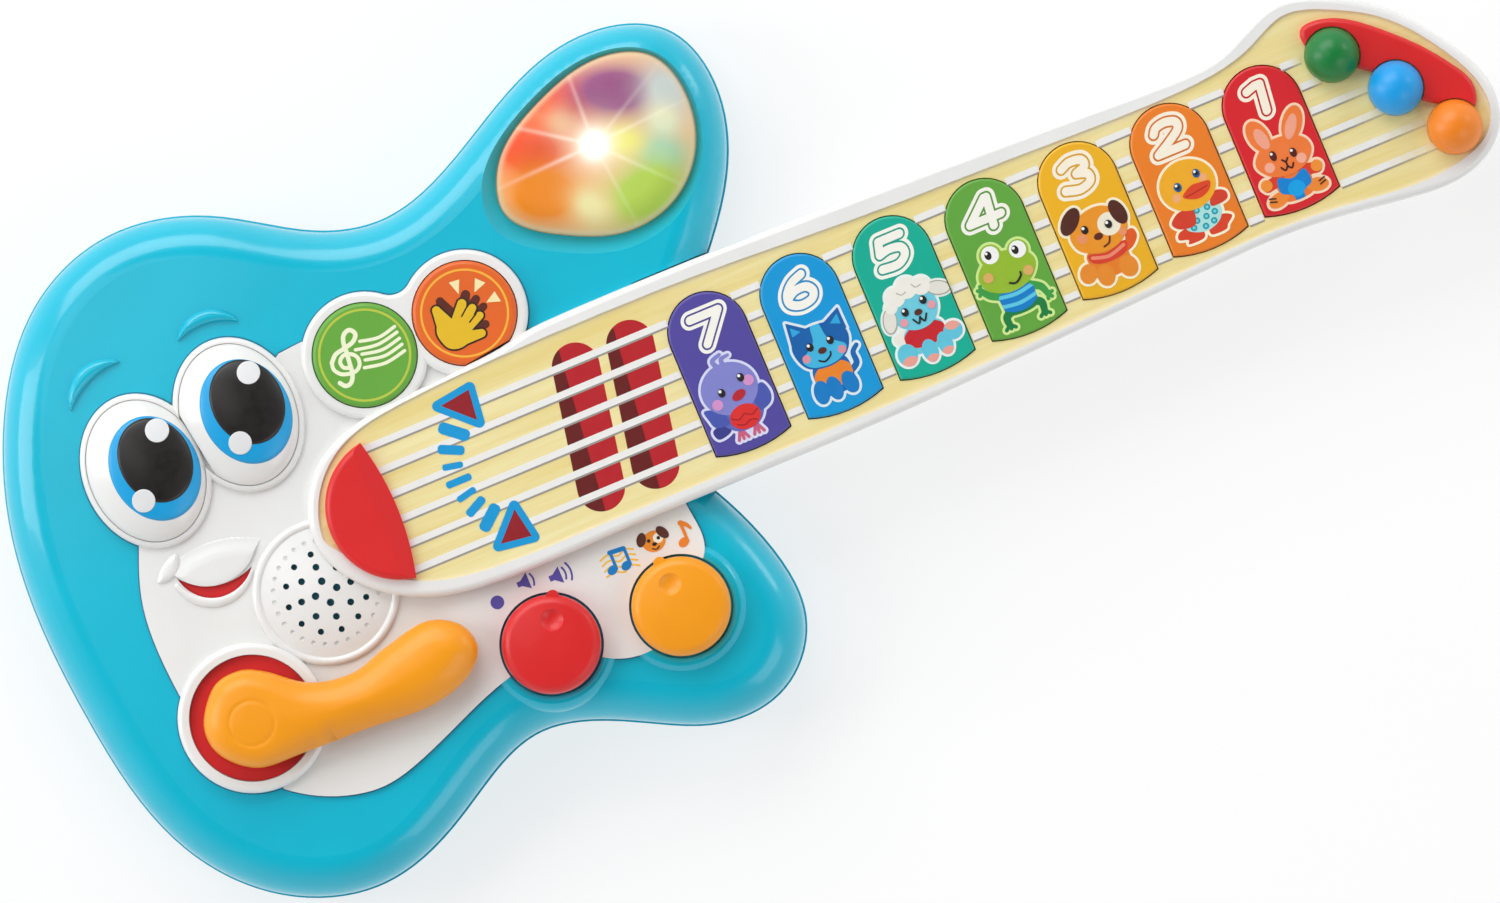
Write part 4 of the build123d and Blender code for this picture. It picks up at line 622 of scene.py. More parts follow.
def sheep():
    wool_line = (180, 176, 160)
    head = blob((-5.4, -3.4), (0, -1.4), (5.6, -3.2), (6.8, -7.4), (4.0, -11.6), (-1.0, -12.6), (-5.4, -10.4),
                (-6.8, -7.0))
    wool = join(disc(-4.0, -1.4, 2.9), disc(0.0, 0.0, 3.2), disc(4.2, -1.0, 2.7), disc(-6.2, -3.8, 1.8))
    ears = join(oval(-8.0, -7.2, 2.0, 3.6, -18), oval(8.6, -3.4, 3.4, 2.0, -22))
    body = blob((-4.6, -11.4), (4.6, -11.4), (6.2, -15.4), (4.8, -19), (-4.6, -19), (-6.2, -15.4))
    legs = join(oval(-7.0, -18.2, 2.9, 3.3), oval(-0.4, -19.4, 2.3, 3.4), oval(4.4, -19.0, 2.2, 3.4),
                oval(7.9, -16.4, 2.8, 2.7))
    hooves = join(oval(-6.9, -20.6, 2.5, 1.9), oval(-0.4, -22.0, 2.0, 1.5), oval(4.5, -21.6, 1.9, 1.5),
                  oval(8.3, -14.8, 2.2, 1.5))
    tail = join(disc(-7.4, -13.2, 1.7), disc(-5.8, -12.4, 1.5))
    return [outlined(join(head, wool, ears, body, legs, tail), (238, 248, 244)), (tail, (240, 238, 226)),
            (body, (112, 206, 226)), (both(body, oval(0, -14.4, 6.4, 3.5)), (204, 28, 40)),
            (both(legs, grow(body, 9)), (96, 200, 224)), (both(hooves, legs), (240, 164, 150)),
            (head, (112, 208, 228)), (ears, (232, 230, 220)), (ring(ears, 0.3), (170, 166, 150)),
            (wool, (244, 242, 232)), (stroke([(-3.2, -0.4), (-2.0, -1.4), (-0.6, -1.0)], 0.3), wool_line),
            (stroke([(1.8, 0.4), (2.6, -0.8), (4.2, -0.6)], 0.3), wool_line),
            *dots((236, 158, 170), (-4.4, -9.2, 1.2), (5.0, -7.2, 1.2)), (oval(0.6, -7.8, 1.2, 0.9), (86, 36, 26)),
            (stroke([(-1.6, -9.2), (-0.4, -10.9), (0.5, -9.2)], 0.5), BLACK),
            (stroke([(0.5, -9.2), (1.4, -10.8), (2.6, -9.0)], 0.5), BLACK), *eye(-3.0, -6.4), *eye(3.2, -5.0)]


def frog():
    head = blob((-7.6, -4.0), (-3.0, -0.8), (2.0, -1.0), (7.6, -3.8), (8.6, -7.6), (5.0, -11.6), (-1.0, -12.8),
                (-6.4, -10.8), (-8.6, -7.4))
    bumps = join(disc(-2.8, -0.8, 3.3), disc(5.2, -2.2, 3.1))
    body = blob((-4.2, -11.2), (4.2, -11.2), (5.4, -15.4), (3.8, -19.2), (-3.8, -19.2), (-5.2, -15.4))
    hands = (((-9.2, -9.2), ((-10.0, -10.4), (-10.1, -8.8), (-9.0, -7.9))),
             ((8.4, -17.2), ((9.8, -17.0), (9.3, -18.4), (8.0, -18.6))))
    arms = join(stroke([(-4.4, -12.8), (-7.2, -11.6), (-9.2, -9.2)], 2.6, 1.7),
                stroke([(4.8, -13), (7.4, -14.6), (8.4, -17.2)], 2.6, 1.7),
                *[stroke([palm, tip], 1.1) for palm, tips in hands for tip in tips])
    legs = join(stroke([(-3.0, -17.8), (-5.2, -19.2), (-5.2, -21.6)], 2.7, 1.9),
                stroke([(3.4, -17.4), (5.8, -18.8), (5.6, -21.8)], 2.7, 1.9),
                *[stroke([(x, -21.4), (x + dx, -22.6)], 1.1) for x in (-5.2, 5.6) for dx in (-1.5, 0, 1.4)])
    shirt = both(body, oval(0, -15.0, 6, 3.9))
    bands = both(shirt, join(stroke([(-6, -13.0), (0, -13.8), (6, -12.8)], 1.1),
                             stroke([(-6, -15.8), (0, -16.6), (6, -15.6)], 1.1)))
    return [outlined(join(head, bumps, body, arms, legs), (214, 240, 150)), (join(body, legs), (16, 128, 62)),
            (arms, (60, 160, 70)), (shirt, (0, 128, 204)), (bands, (92, 204, 232)),
            (join(head, bumps), (150, 190, 46)), (join(disc(-2.8, -0.6, 2.6), disc(5.2, -2.0, 2.5)), WHITE),
            (oval(-3.4, -0.5, 1.0, 1.3), BLACK), (oval(4.5, -1.9, 1.0, 1.3), BLACK),
            *dots(WHITE, (-3.7, 0.2, 0.42), (4.2, -1.3, 0.42)),
            *dots((222, 176, 100), (-5.8, -6.6, 1.5), (5.8, -8.8, 1.5)),
            (stroke([(-0.6, -10.2), (1.2, -10.8), (3.2, -9.4), (3.4, -8.4)], 0.55), BLACK)]


def puppy():
    brown = (96, 34, 22)
    head = blob((-7.6, -3.6), (-2.6, 0.2), (3.4, 0.4), (8.0, -3.4), (8.4, -8.0), (4.4, -11.6), (-1.2, -12.4),
                (-6.6, -10.2), (-8.4, -6.8))
    ears = join(oval(-6.6, -0.6, 4.3, 2.4, 44), oval(7.3, -3.2, 2.2, 3.9, 12))
    body = blob((-5.2, -11.0), (4.6, -11.0), (5.8, -15.4), (4.6, -19.4), (-4.6, -19.4), (-6.0, -15.4))
    legs = join(oval(-7.4, -16.6, 2.5, 2.9, -30), oval(-2.8, -18.8, 2.6, 3.2, -6), oval(4.2, -18.8, 2.7, 3.2, 6))
    tail = blob((5.0, -14.6), (7.6, -14.0), (9.8, -11.6), (9.4, -9.2), (7.2, -9.4), (6.0, -12.0))
    scarf = blob((-5.4, -11.6), (0, -12.8), (6.0, -11.4), (5.2, -14.6), (0, -15.6), (-4.8, -14.4))
    return [outlined(join(head, ears, body, legs, tail)), (body, (234, 128, 32)), (tail, (230, 92, 30)),
            (scarf, (220, 62, 40)), (stroke([(-4.6, -12.8), (0, -14.0), (5.2, -12.6)], 1.0), (242, 140, 110)),
            (legs, (236, 142, 42)), (head, (240, 152, 34)), (both(disc(3.6, -5.4, 3.4), head), (246, 238, 214)),
            (ears, (82, 34, 22)), *dots((238, 150, 100), (-5.2, -6.6, 1.5), (6.4, -9.0, 1.2)),
            (oval(-0.6, -7.6, 1.35, 1.0), brown), (stroke([(-0.2, -11.0), (1.6, -10.4), (2.4, -8.8)], 0.5), brown),
            *eye(-3.6, -4.4), *eye(3.4, -5.4)]


def duck():
    head = oval(0, -3.8, 8.3, 7.4)
    wings = join(blob((-1.4, -11.0), (-5.4, -10.2), (-8.6, -12.6), (-6.6, -15.0), (-2.2, -15.2)),
                 blob((4.4, -10.2), (6.6, -8.2), (9.4, -9.4), (9.0, -11.8), (4.4, -12.2)))
    body = blob((-3.6, -10.4), (4.4, -10.4), (6.6, -13.4), (4.6, -16.8), (0.0, -18.2), (-4.6, -16.4), (-5.4, -13.2))
    feet = join(blob((-2.6, -15.4), (-7.2, -15.6), (-8.4, -17.6), (-5.8, -18.6), (-6.0, -19.9), (-1.4, -19.8),
                     (-0.8, -17.4)),
                blob((2.6, -15.6), (6.4, -15.4), (8.6, -16.8), (6.6, -18.6), (5.4, -19.9), (1.2, -19.8), (1.0, -17.6)))
    spots = [disc(x, y, 0.95) for x, y in ((-3.2, -12.6), (-0.4, -11.6), (2.8, -11.8), (-1.4, -14.4), (1.6, -14.2),
                                           (4.4, -13.8), (-3.0, -16.0), (0.4, -16.8), (3.2, -16.2))]
    beak = blob((-2.6, -6.6), (0.6, -4.4), (3.2, -4.4), (6.4, -5.0), (5.0, -7.6), (1.2, -8.6))
    return [outlined(join(head, wings, body, feet)), (feet, (224, 66, 36)), (body, (176, 230, 226)),
            (both(join(*spots), body), (16, 158, 178)),
            (both(join(*[grow(spot, -0.5) for spot in spots]), body), (120, 214, 222)), (wings, (216, 62, 38)),
            (head, (246, 176, 34)), *dots((246, 176, 120), (-4.4, -6.2, 1.3), (5.0, -3.4, 1.2)),
            (beak, (226, 70, 34)), (stroke([(-1.8, -6.9), (1.6, -6.6), (5.2, -6.0)], 0.35), (184, 40, 26)),
            (oval(-2.9, -3.4, 1.15, 1.35), (22, 92, 150)), (oval(3.6, -1.6, 1.1, 1.3), (22, 92, 150)),
            *dots(BLACK, (-2.9, -3.4, 0.62), (3.6, -1.6, 0.6)), *dots(WHITE, (-3.2, -2.8, 0.4), (3.3, -1.0, 0.4))]


def rabbit():
    orange, brown, dark = (246, 126, 56), (84, 26, 22), (60, 26, 20)
    head = blob((-7.4, -4.2), (-3.2, -1.4), (2.6, -1.4), (7.4, -3.8), (8.4, -7.6), (5.2, -11.2), (0.2, -12.4),
                (-5.2, -11.2), (-8.4, -7.4))
    ears = join(oval(-4.6, 1.2, 3.0, 5.0, 12), oval(5.8, 1.0, 2.9, 5.4, -34))
    inner = join(oval(-4.0, 0.2, 1.7, 3.4, 12), oval(5.2, 0.4, 1.6, 3.8, -34))
    arms = join(*[stroke([(side * 4.0, -12.6), (side * 7.6, -13.4)], 3.6, 3.2) for side in (-1, 1)])
    paws = join(disc(-7.8, -12.9, 1.7), disc(7.8, -12.9, 1.7))
    body = blob((-4.6, -11.6), (4.6, -11.6), (5.2, -16), (3.6, -19.6), (-3.6, -19.6), (-5.2, -16))
    feet = join(oval(-6.0, -18.0, 3.3, 2.0, 14), oval(6.0, -18.0, 3.3, 2.0, -14))
    overalls = both(body, blob((-4.0, -12.2), (0, -13.6), (4.0, -12.2), (4.8, -16.4), (1.8, -18.2), (1.2, -20.8),
                               (-1.2, -20.8), (-1.8, -18.2), (-4.8, -16.4)))
    toes = [stroke([(side * 6.8, y), (side * 8.6, y + 0.6)], 0.4) for side in (-1, 1) for y in (-17.3, -18.3)]
    mouth_lines = join(stroke([(0, -8.6), (0, -9.8)], 0.5),
                       stroke([(-0.9, -7.6), (0, -8.6), (0.9, -7.6)], 0.5, curved=False),
                       *[stroke([(0, -9.8), (side * 1.0, -10.8), (side * 1.9, -9.6)], 0.5) for side in (-1, 1)])
    return [outlined(join(head, ears, arms, body, feet, paws), (255, 222, 190)), (body, (240, 120, 44)),
            (arms, (224, 62, 36)), (feet, (244, 140, 50)), (overalls, (0, 132, 214)),
            (both(overalls, oval(0, -16.8, 2.6, 2.4)), (0, 164, 234)), (paws, (246, 148, 52)),
            (join(head, ears), orange), (inner, (248, 168, 140)),
            *dots((250, 176, 150), (-5.0, -8.4, 1.5), (4.6, -9.2, 1.5)), (join(*toes), dark), (mouth_lines, dark),
            (oval(-2.8, -5.6, 1.0, 1.5), brown), (oval(3.0, -6.8, 1.0, 1.4), brown),
            *dots(WHITE, (-3.1, -4.9, 0.42), (2.7, -6.1, 0.42))]


NUMERALS = {  # strokes of each numeral: points, and whether a curve runs through them
    1: [([(-2.9, 3.6), (-0.6, 4.6), (1.0, 4.6)], False), ([(1.0, 4.6), (1.0, -4.6)], False)],
    2: [([(-3.4, 2.4), (-2.4, 4.2), (0.2, 4.9), (2.9, 3.9), (3.3, 1.6), (1.2, -0.8), (-3.6, -4.6)], True),
        ([(-3.6, -4.6), (4.0, -4.6)], False)],
    3: [([(-3.2, 3.5), (-0.8, 4.8), (2.4, 4.2), (3.0, 1.8), (0.4, 0.4)], True),
        ([(0.4, 0.4), (3.2, -0.9), (3.4, -3.6), (0.4, -5.0), (-3.6, -3.8)], True)],
    4: [([(1.2, 4.8), (-4.2, -2.0), (4.6, -2.0)], False), ([(1.9, 4.8), (1.9, -4.9)], False)],
    5: [([(3.4, 4.7), (-2.6, 4.7), (-3.1, 0.4)], False),
        ([(-3.1, 0.4), (-0.4, 1.2), (2.8, 0.4), (3.4, -2.4), (1.0, -4.7), (-3.4, -4.4)], True)],
    6: [([(1.6, 4.8), (-1.4, 3.2), (-3.4, 0.0), (-3.2, -3.2), (-0.4, -4.9), (2.8, -4.2), (3.6, -1.8), (2.0, 0.4),
          (-1.0, 0.4), (-3.2, -1.2)], True)],
    7: [([(-3.8, 4.7), (4.2, 4.7), (-0.9, -4.8)], False)],
}
KEYS = {1: (rabbit, "key_red"), 2: (duck, "key_orange"), 3: (puppy, "key_amber"), 4: (frog, "key_green"),
        5: (sheep, "key_teal"), 6: (cat, "key_blue"), 7: (bird, "key_violet")}


def key_x(number):
    return KEY_7_X + (7 - number) * KEY_PITCH


for number, (picture, slot) in KEYS.items():
    middle = key_x(number)
    lines = [stroke([(x * 1.04, y * 0.82) for x, y in points], 2.3, curved=curved)
             for points, curved in NUMERALS[number]]
    numeral = moved(slanted(join(*lines), 0.12), 0, 9.7)
    halo = (252, 250, 240) if number > 3 else (255, 246, 226)
    layers = [(grow(numeral, 1.45), halo), (grow(numeral, 0.5), shaded(PALETTE[slot], 0.92)), (numeral, halo)]
    layers = [(moved(shape, middle, 0), colour) for shape, colour in layers]
    print_picture(f"numeral_{number}", layers, (middle - 8, middle + 8, 2.5, 18), KEY_Z, f"key_{number}", slot, 0.1)
    layers = [(moved(shape, middle, -1.0, 0.95), colour) for shape, colour in picture()]
    print_picture(f"key_picture_{number}", layers, (middle - 11, middle + 11, -24.2, 8), KEY_Z, f"key_{number}", slot,
                  0.14, 5)


# ================================================================ prints on the panel
def bar_mesh(x0, x1, y0, y1, low, high):
    """A flat bar as vertices and faces."""
    vertices = [(x, y, z) for z in (low, high) for x, y in ((x0, y0), (x1, y0), (x1, y1), (x0, y1))]
    return vertices, [(3, 2, 1, 0), (4, 5, 6, 7), (0, 1, 5, 4), (1, 2, 6, 5), (2, 3, 7, 6), (3, 0, 4, 7)]


def pickup_layers():
    """Two round-ended red bars, darker on their left side."""
    bars, shadows = [], []
    for top, bottom in (((-49.2, 14.0), (-55.6, -19.4)), ((-33.0, 14.0), (-39.4, -19.4))):
        bars.append(stroke([top, bottom], 13.2, curved=False))
        beside = [(top[0] - 8.6, top[1] + 12), (bottom[0] - 8.6, bottom[1] - 12)]
        shadows.append(both(bars[-1], stroke(beside, 13.2, curved=False)))
    return [(join(*bars), (188, 24, 34)), (join(*shadows), (104, 16, 14))]


def print_strings():
    """Six strings, broken at the keys, that fade into the panel beyond the last key."""
    vertices, faces, colours = [], [], []
    for y, end in zip(STRING_YS, STRING_ENDS):
        stops = [STRING_START]
        for number in range(7, 0, -1):
            spring = KEY_TOPS[number - 1] - 11
            half = math.sqrt(KEY_HALF ** 2 - max(y - spring, 0) ** 2) + 0.25
            stops += [key_x(number) - half, key_x(number) + half]
        stops.append(end)
        for start, stop in zip(stops[::2], stops[1::2]):
            count = 8 if stop == end else 1
            for part in range(count):
                x0, x1 = (start + (stop - start) * i / count for i in (part, part + 1))
                fade = 0.0 if count == 1 else max(0, (part - 3) / 6)
                for y0, y1, height, shade in ((y - 1.35, y - 0.7, 0.06, (158, 154, 146)),
                                              (y - 0.8, y + 1.05, 0.08, (244, 243, 240))):
                    bar = bar_mesh(x0, x1, y0, y1, PANEL_Z - SUNK, PANEL_Z + height)
                    add_part(vertices, faces, bar)
                    mixed = [a + (b - a) * fade for a, b in zip(shade, (238, 222, 156))]
                    colours += [linear(*mixed)] * len(bar[0])
    make_piece("string_prints", vertices, faces, "guitar", "white_plastic", colours)


def arrow_layers():
    """Two arrowheads with a bent row of dashes between them."""
    corners = [[(-88.5, 18.5), (-78.4, 19.9), (-79.6, 10.0)], [(-79.6, -14.9), (-77.8, -24.8), (-87.8, -23.4)]]
    arrows = [polygon(corner) for corner in corners]
    dashes = []
    for x, y, length, width, angle in ((-87, 10.3, 8.5, 3.3, -40), (-89.7, 6, 7, 2.6, -25), (-91, 1.7, 5.4, 1.8, -12),
                                       (-91, -2.7, 7, 2, 0), (-90.5, -7, 5.5, 1.8, 12), (-89.4, -11, 6.2, 2.4, 27),
                                       (-87, -15.3, 7.8, 3.3, 40)):
        c, s = cosine_sine(angle)
        corner_radius = width * 0.4
        u, v = length / 2 + 0.2 - corner_radius, width / 2 - corner_radius
        box = [(x + c * a * u - s * b * v, y + s * a * u + c * b * v) for a, b in ((-1, -1), (1, -1), (1, 1), (-1, 1))]
        dashes.append(grow(polygon(box), corner_radius))
    return [(join(*[grow(arrow, 1.5) for arrow in arrows], *dashes), (0, 156, 220)),
            (join(*[grow(arrow, -0.4) for arrow in arrows]), (150, 20, 32))]


print_picture("pickup_prints", pickup_layers(), (-66, -24, -28, 22), PANEL_Z, "guitar", "yellow_panel", 0.2)
print_strings()
print_picture("arrow_prints", arrow_layers(), (-97, -73, -29, 24), PANEL_Z + 0.1, "guitar", "yellow_panel", 0.14)


# ================================================================ eyes
def eye_height(name):
    x0, y0 = EYES[name]
    rx, ry, rise = EYE_RADII

    def height(x, y):
        return EYE_BASE_Z + rise * math.sqrt(max(0.0, 1 - ((x - x0) / rx) ** 2 - ((y - y0) / ry) ** 2))
    return height


def draped_oval(x0, y0, rx, ry, tilt, height, lift, rings=14, spokes=96):
    """An oval film that follows a curved surface: vertices and faces of a closed thin skin."""
    c, s = cosine_sine(tilt)
    vertices, faces = [], []
    for offset in (lift, -SUNK):
        turn_over = -1 if offset < 0 else 1
        start = len(vertices)
        vertices.append((x0, y0, height(x0, y0) + offset))
        for ring_number in range(1, rings + 1):
            reach = ring_number / rings
            for spoke in range(spokes):
                angle = 2 * math.pi * spoke / spokes
                u, v = rx * reach * math.cos(angle), ry * reach * math.sin(angle)
                x, y = x0 + u * c - v * s, y0 + u * s + v * c
                vertices.append((x, y, height(x, y) + offset))
        for spoke in range(spokes):
            a, b = start + 1 + spoke, start + 1 + (spoke + 1) % spokes
            faces.append((start, a, b)[::turn_over])
            faces += [(a + i, a + i + spokes, b + i + spokes, b + i)[::turn_over]
                      for i in range(0, (rings - 1) * spokes, spokes)]
    rim = 1 + (rings - 1) * spokes
    half = len(vertices) // 2
    for spoke in range(spokes):
        a, b = rim + spoke, rim + (spoke + 1) % spokes
        faces.append((b, a, half + a, half + b))
    return vertices, faces


IRIS, PUPIL, GLINT = (0, 166, 230), (20, 15, 13), (236, 237, 238)
EYE_PRINTS = {  # centre, radii, tilt and colour of each oval
    "eye_left": [((-166.8, 32.6), (12.2, 14.9), 4, IRIS), ((-165.8, 34.6), (9.9, 12.1), 6, PUPIL),
                 ((-162.2, 42.0), (3.3, 3.3), 0, GLINT), ((-173.0, 25.5), (3.2, 3.2), 0, GLINT)],
    "eye_right": [((-137.6, 37.4), (12.2, 14.9), 4, IRIS), ((-136.3, 39.7), (9.9, 12.1), 6, PUPIL),
                  ((-132.9, 47.0), (3.2, 3.2), 0, GLINT), ((-142.4, 30.0), (3.2, 3.2), 0, GLINT)],
}
for name, ovals in EYE_PRINTS.items():
    vertices, faces, colours = [], [], []
    for index, (centre, radii, tilt, colour) in enumerate(ovals):
        film = draped_oval(*centre, *radii, tilt, eye_height(name), 0.04 + 0.04 * index)
        add_part(vertices, faces, film)
        colours += [linear(*colour)] * len(film[0])
    make_piece(f"{name}_print", vertices, faces, "guitar", "white_plastic", colours, smooth=True)


# ================================================================ mouth, buttons and icons on the face
def arc_points(start, middle, end, count=24):
    """Points along the circle through three points."""
    (ax, ay), (bx, by), (cx, cy) = start, middle, end
    d = 2 * (ax * (by - cy) + bx * (cy - ay) + cx * (ay - by))
    a, b, c = ax ** 2 + ay ** 2, bx ** 2 + by ** 2, cx ** 2 + cy ** 2
    ux = (a * (by - cy) + b * (cy - ay) + c * (ay - by)) / d
    uy = (a * (cx - bx) + b * (ax - cx) + c * (bx - ax)) / d
    radius = math.hypot(ax - ux, ay - uy)
    first, through, last = (math.atan2(y - uy, x - ux) for x, y in (start, middle, end))
    sweep = (last - first) % (2 * math.pi)
    if (through - first) % (2 * math.pi) > sweep:
        sweep -= 2 * math.pi
    angles = [first + sweep * i / count for i in range(count + 1)]
    return [(ux + radius * math.cos(angle), uy + radius * math.sin(angle)) for angle in angles]


def crescent(start, outer, end, inner):
    return polygon(arc_points(start, outer, end)[:-1] + arc_points(end, inner, start)[:-1])


mouth = crescent((-172.9, 2.4), (-163.8, -7.0), (-152.6, -2.4), (-162.6, -3.7))
print_picture("mouth_print", [(grow(mouth, -0.02), (206, 22, 30)), (grow(mouth, -0.7), (222, 34, 36))],
              (-175, -150, -9, 5), PLATE_Z - 0.7, "guitar", "white_plastic", 0.1)

clef = moved(join(
    stroke([(-9.0, -2.2), (-8.0, 0.15), (-5.6, 1.8), (-3.25, 3.65), (-2.6, 5.8), (-4.25, 6.9), (-5.75, 5.6),
            (-5.85, 3.4), (-5.0, 0.8), (-4.15, -2.2), (-3.35, -5.2), (-3.7, -7.6), (-5.2, -8.5), (-6.8, -7.7)], 1.25),
    stroke([(-9.0, -2.2), (-8.5, -4.0), (-6.7, -5.2), (-4.5, -5.2), (-2.35, -4.4), (-1.4, -2.7), (-1.95, -0.7),
            (-3.7, 0.25), (-5.85, -0.15), (-6.75, -1.9), (-5.85, -3.4), (-4.5, -3.55)], 1.1)),
    *MUSIC_BUTTON, 1.0, VIEW_TURN)
music_lines = [stroke([(x, y), ((x - 91.0) / 2, y - 1.0), (-91.0, y + 0.1)], 0.95)
               for x, y in ((-101.4, 43.2), (-103.4, 41.5), (-102.2, 39.7), (-102.0, 37.9), (-103.0, 36.0))]
print_picture("music_print", [(ring(disc(*MUSIC_BUTTON, 12.5), 0.65), (190, 204, 70)),
                              (join(clef, *music_lines), (246, 250, 214))],
              (-116.5, -86.5, 24, 54), BUTTON_Z, "music_button", "green_plastic", 0.1)

hand = join(
    stroke([(-77.8, 37.5), (-78.7, 42.9)], 5.5, 2.4), stroke([(-75.0, 37.0), (-71.5, 42.0)], 4.0, 2.5),
    stroke([(-74.5, 36.0), (-69.3, 39.8)], 3.6, 2.2), stroke([(-74.0, 35.0), (-68.2, 37.1)], 3.4, 2.1),
    stroke([(-74.5, 33.0), (-69.6, 32.4)], 3.6, 2.3),
    blob((-81, 36.5), (-79.5, 39.5), (-76, 39), (-73, 37.6), (-72.3, 34), (-73.6, 31.6), (-77, 30.9), (-79.8, 32.4)))
finger_gaps = moved(join(stroke([(0.55, 1.65), (-0.8, -0.95)], 0.4), stroke([(3.2, -0.1), (1.4, -2.5)], 0.4)),
                    *CLAP_BUTTON, 1.0, VIEW_TURN)
rays = join(polygon([(-72.6, 48.7), (-69.6, 48.4), (-71.3, 44.7)]),
            polygon([(-65.5, 47.1), (-63.3, 44.8), (-67.1, 43.5)]),
            polygon([(-61.9, 41.7), (-61.3, 38.4), (-65.2, 39.7)]))
print_picture("clap_print", [(ring(disc(*CLAP_BUTTON, 11.95), 0.6), (252, 184, 60)), (rays, (252, 236, 178)),
                             (moved(hand, 1.9, 1.9), (92, 34, 20)), (grow(hand, 0.5), (44, 22, 16)),
                             (hand, (234, 190, 30)), (finger_gaps, (44, 22, 16))],
              (-86.5, -56.5, 24.5, 54), BUTTON_Z, "clap_button", "orange_plastic", 0.1)


def note(x, y, height, flag=True):
    """A music note with its head at (x, y)."""
    stem = x + 1.15
    parts = [oval(x, y, 1.55, 1.2, 20), stroke([(stem, y), (stem, y + height)], 0.9, curved=False)]
    if flag:
        parts.append(stroke([(stem, y + height), (x + 2.5, y + height - 1.0), (x + 3.2, y + height - 2.3)], 1.5, 0.7))
    return join(*parts)


def sound_waves(x0, y0, *radii):
    """Arcs that spread to the right of (x0, y0)."""
    return [both(ring(disc(x0, y0, radius), 0.55), lambda x, y: np.abs(y - y0) - (x - x0) * 0.62) for radius in radii]


violet, cyan = (88, 78, 168), (0, 128, 206)
speakers = join(
    polygon([(-87.2, -34.6), (-86.0, -34.6), (-83.8, -32.9), (-83.8, -37.7), (-86.0, -36.1), (-87.2, -36.1)]),
    polygon([(-78.4, -36.4), (-77.2, -36.4), (-75.0, -34.8), (-75.0, -39.7), (-77.2, -38.0), (-78.4, -38.0)]),
    *sound_waves(-86.0, -35.4, 3.5), *sound_waves(-77.2, -37.2, 3.5, 5.1))
stave = [stroke([(-63.6, y), (-61.2, y + 0.7), (-58.6, y - 0.5), (-56.2, y + 0.5), (-54.0, y - 0.4)], 0.5)
         for y in (-38.0, -39.6, -41.2, -42.8)]
double_note = join(note(-61.4, -41.6, 4.8, False), note(-57.4, -41.9, 4.8, False),
                   stroke([(-60.4, -36.9), (-56.4, -37.2)], 1.3, curved=False))
dog_ears = join(oval(-51.0, -37.0, 1.3, 2.0, -32), oval(-44.8, -37.2, 1.3, 2.1, 28))
dog_features = join(disc(-49.2, -38.0, 0.5), disc(-46.4, -38.2, 0.5), oval(-48.0, -39.4, 0.7, 0.5),
                    stroke([(-49.0, -40.4), (-48.0, -40.9), (-47.0, -40.4)], 0.35))
print_picture("icon_prints", [
    (disc(-94.1, -37.6, 1.9), violet), (speakers, violet), (join(*stave), (250, 200, 60)), (double_note, cyan),
    (oval(-47.9, -38.6, 3.3, 2.9), (240, 146, 40)), (disc(-46.5, -38.2, 1.4), (250, 244, 226)),
    (dog_ears, (88, 40, 24)), (dog_features, BLACK), (note(-40.4, -42.0, 5.2), (240, 134, 36)),
], (-98, -35, -46, -31), PLATE_Z, "guitar", "white_plastic", 0.1)


# ================================================================ lever handle
LEVER_POINTS = [
    (-160.3, -30.5), (-150.3, -38), (-138.4, -40.2), (-127.3, -37.2), (-114.3, -34.8), (-105.5, -39.5),
    (-103.9, -47.5), (-110.5, -53.9), (-122.5, -56.9), (-140.5, -55.9), (-158.5, -55.3), (-172, -54.4),
    (-180.6, -47), (-181.6, -38), (-175, -29.1), (-167, -27.6),
]
HUB = (-169.0, -42.3)
HUB_RING = 6.2            # radius of the shallow ring over the pivot
LEVER_BOTTOM_Z = 37.2
LEVER_SIDE_Z = 39.2       # where the handle's section starts to round


def pillow(outline, window, depths, profile, floor, step=0.5, extra=()):
    """A rounded solid over an outline: profile gives the height at each depth inside it, above a flat floor."""
    x_low, x_high, y_low, y_high = window
    xs, ys = np.arange(x_low, x_high + step, step), np.arange(y_low, y_high + step, step)
    grid_x, grid_y = np.meshgrid(xs, ys)
    field = outline(grid_x, grid_y)
    points, edges = [], []
    for number, depth in enumerate(depths):
        for loop in contours(field.copy(), xs, ys, -depth):
            start = len(points)
            points += [tuple(point) for point in loop]
            if number == 0:
                edges += [(start + i, start + (i + 1) % len(loop)) for i in range(len(loop))]
    rim = len(edges)
    deep = field < -depths[-1] - 0.6
    spaced = np.zeros_like(deep)
    spaced[::4, ::4] = True
    points += [(x, y) for x, y in zip(grid_x[deep & spaced], grid_y[deep & spaced])]
    points += list(extra)
    found, _, triangles, *_ = delaunay_2d_cdt([Vector(point) for point in points], edges, [], 1, 1e-5)
    flat = np.array([tuple(point) for point in found])
    inside = -outline(flat[:, 0], flat[:, 1])
    top = [(x, y, profile(max(0.0, depth), x, y)) for (x, y), depth in zip(flat, inside)]
    for index in range(rim):
        top[index] = (*top[index][:2], profile(0.0, *top[index][:2]))
    base = len(top)
    vertices = top + [(x, y, floor) for x, y in flat[:rim]]
    faces = [tuple(face) for face in triangles]
    faces += [(i, base + i, base + (i + 1) % rim, (i + 1) % rim) for i in range(rim)]
    faces.append(tuple(base + i for i in reversed(range(rim))))
    return vertices, faces


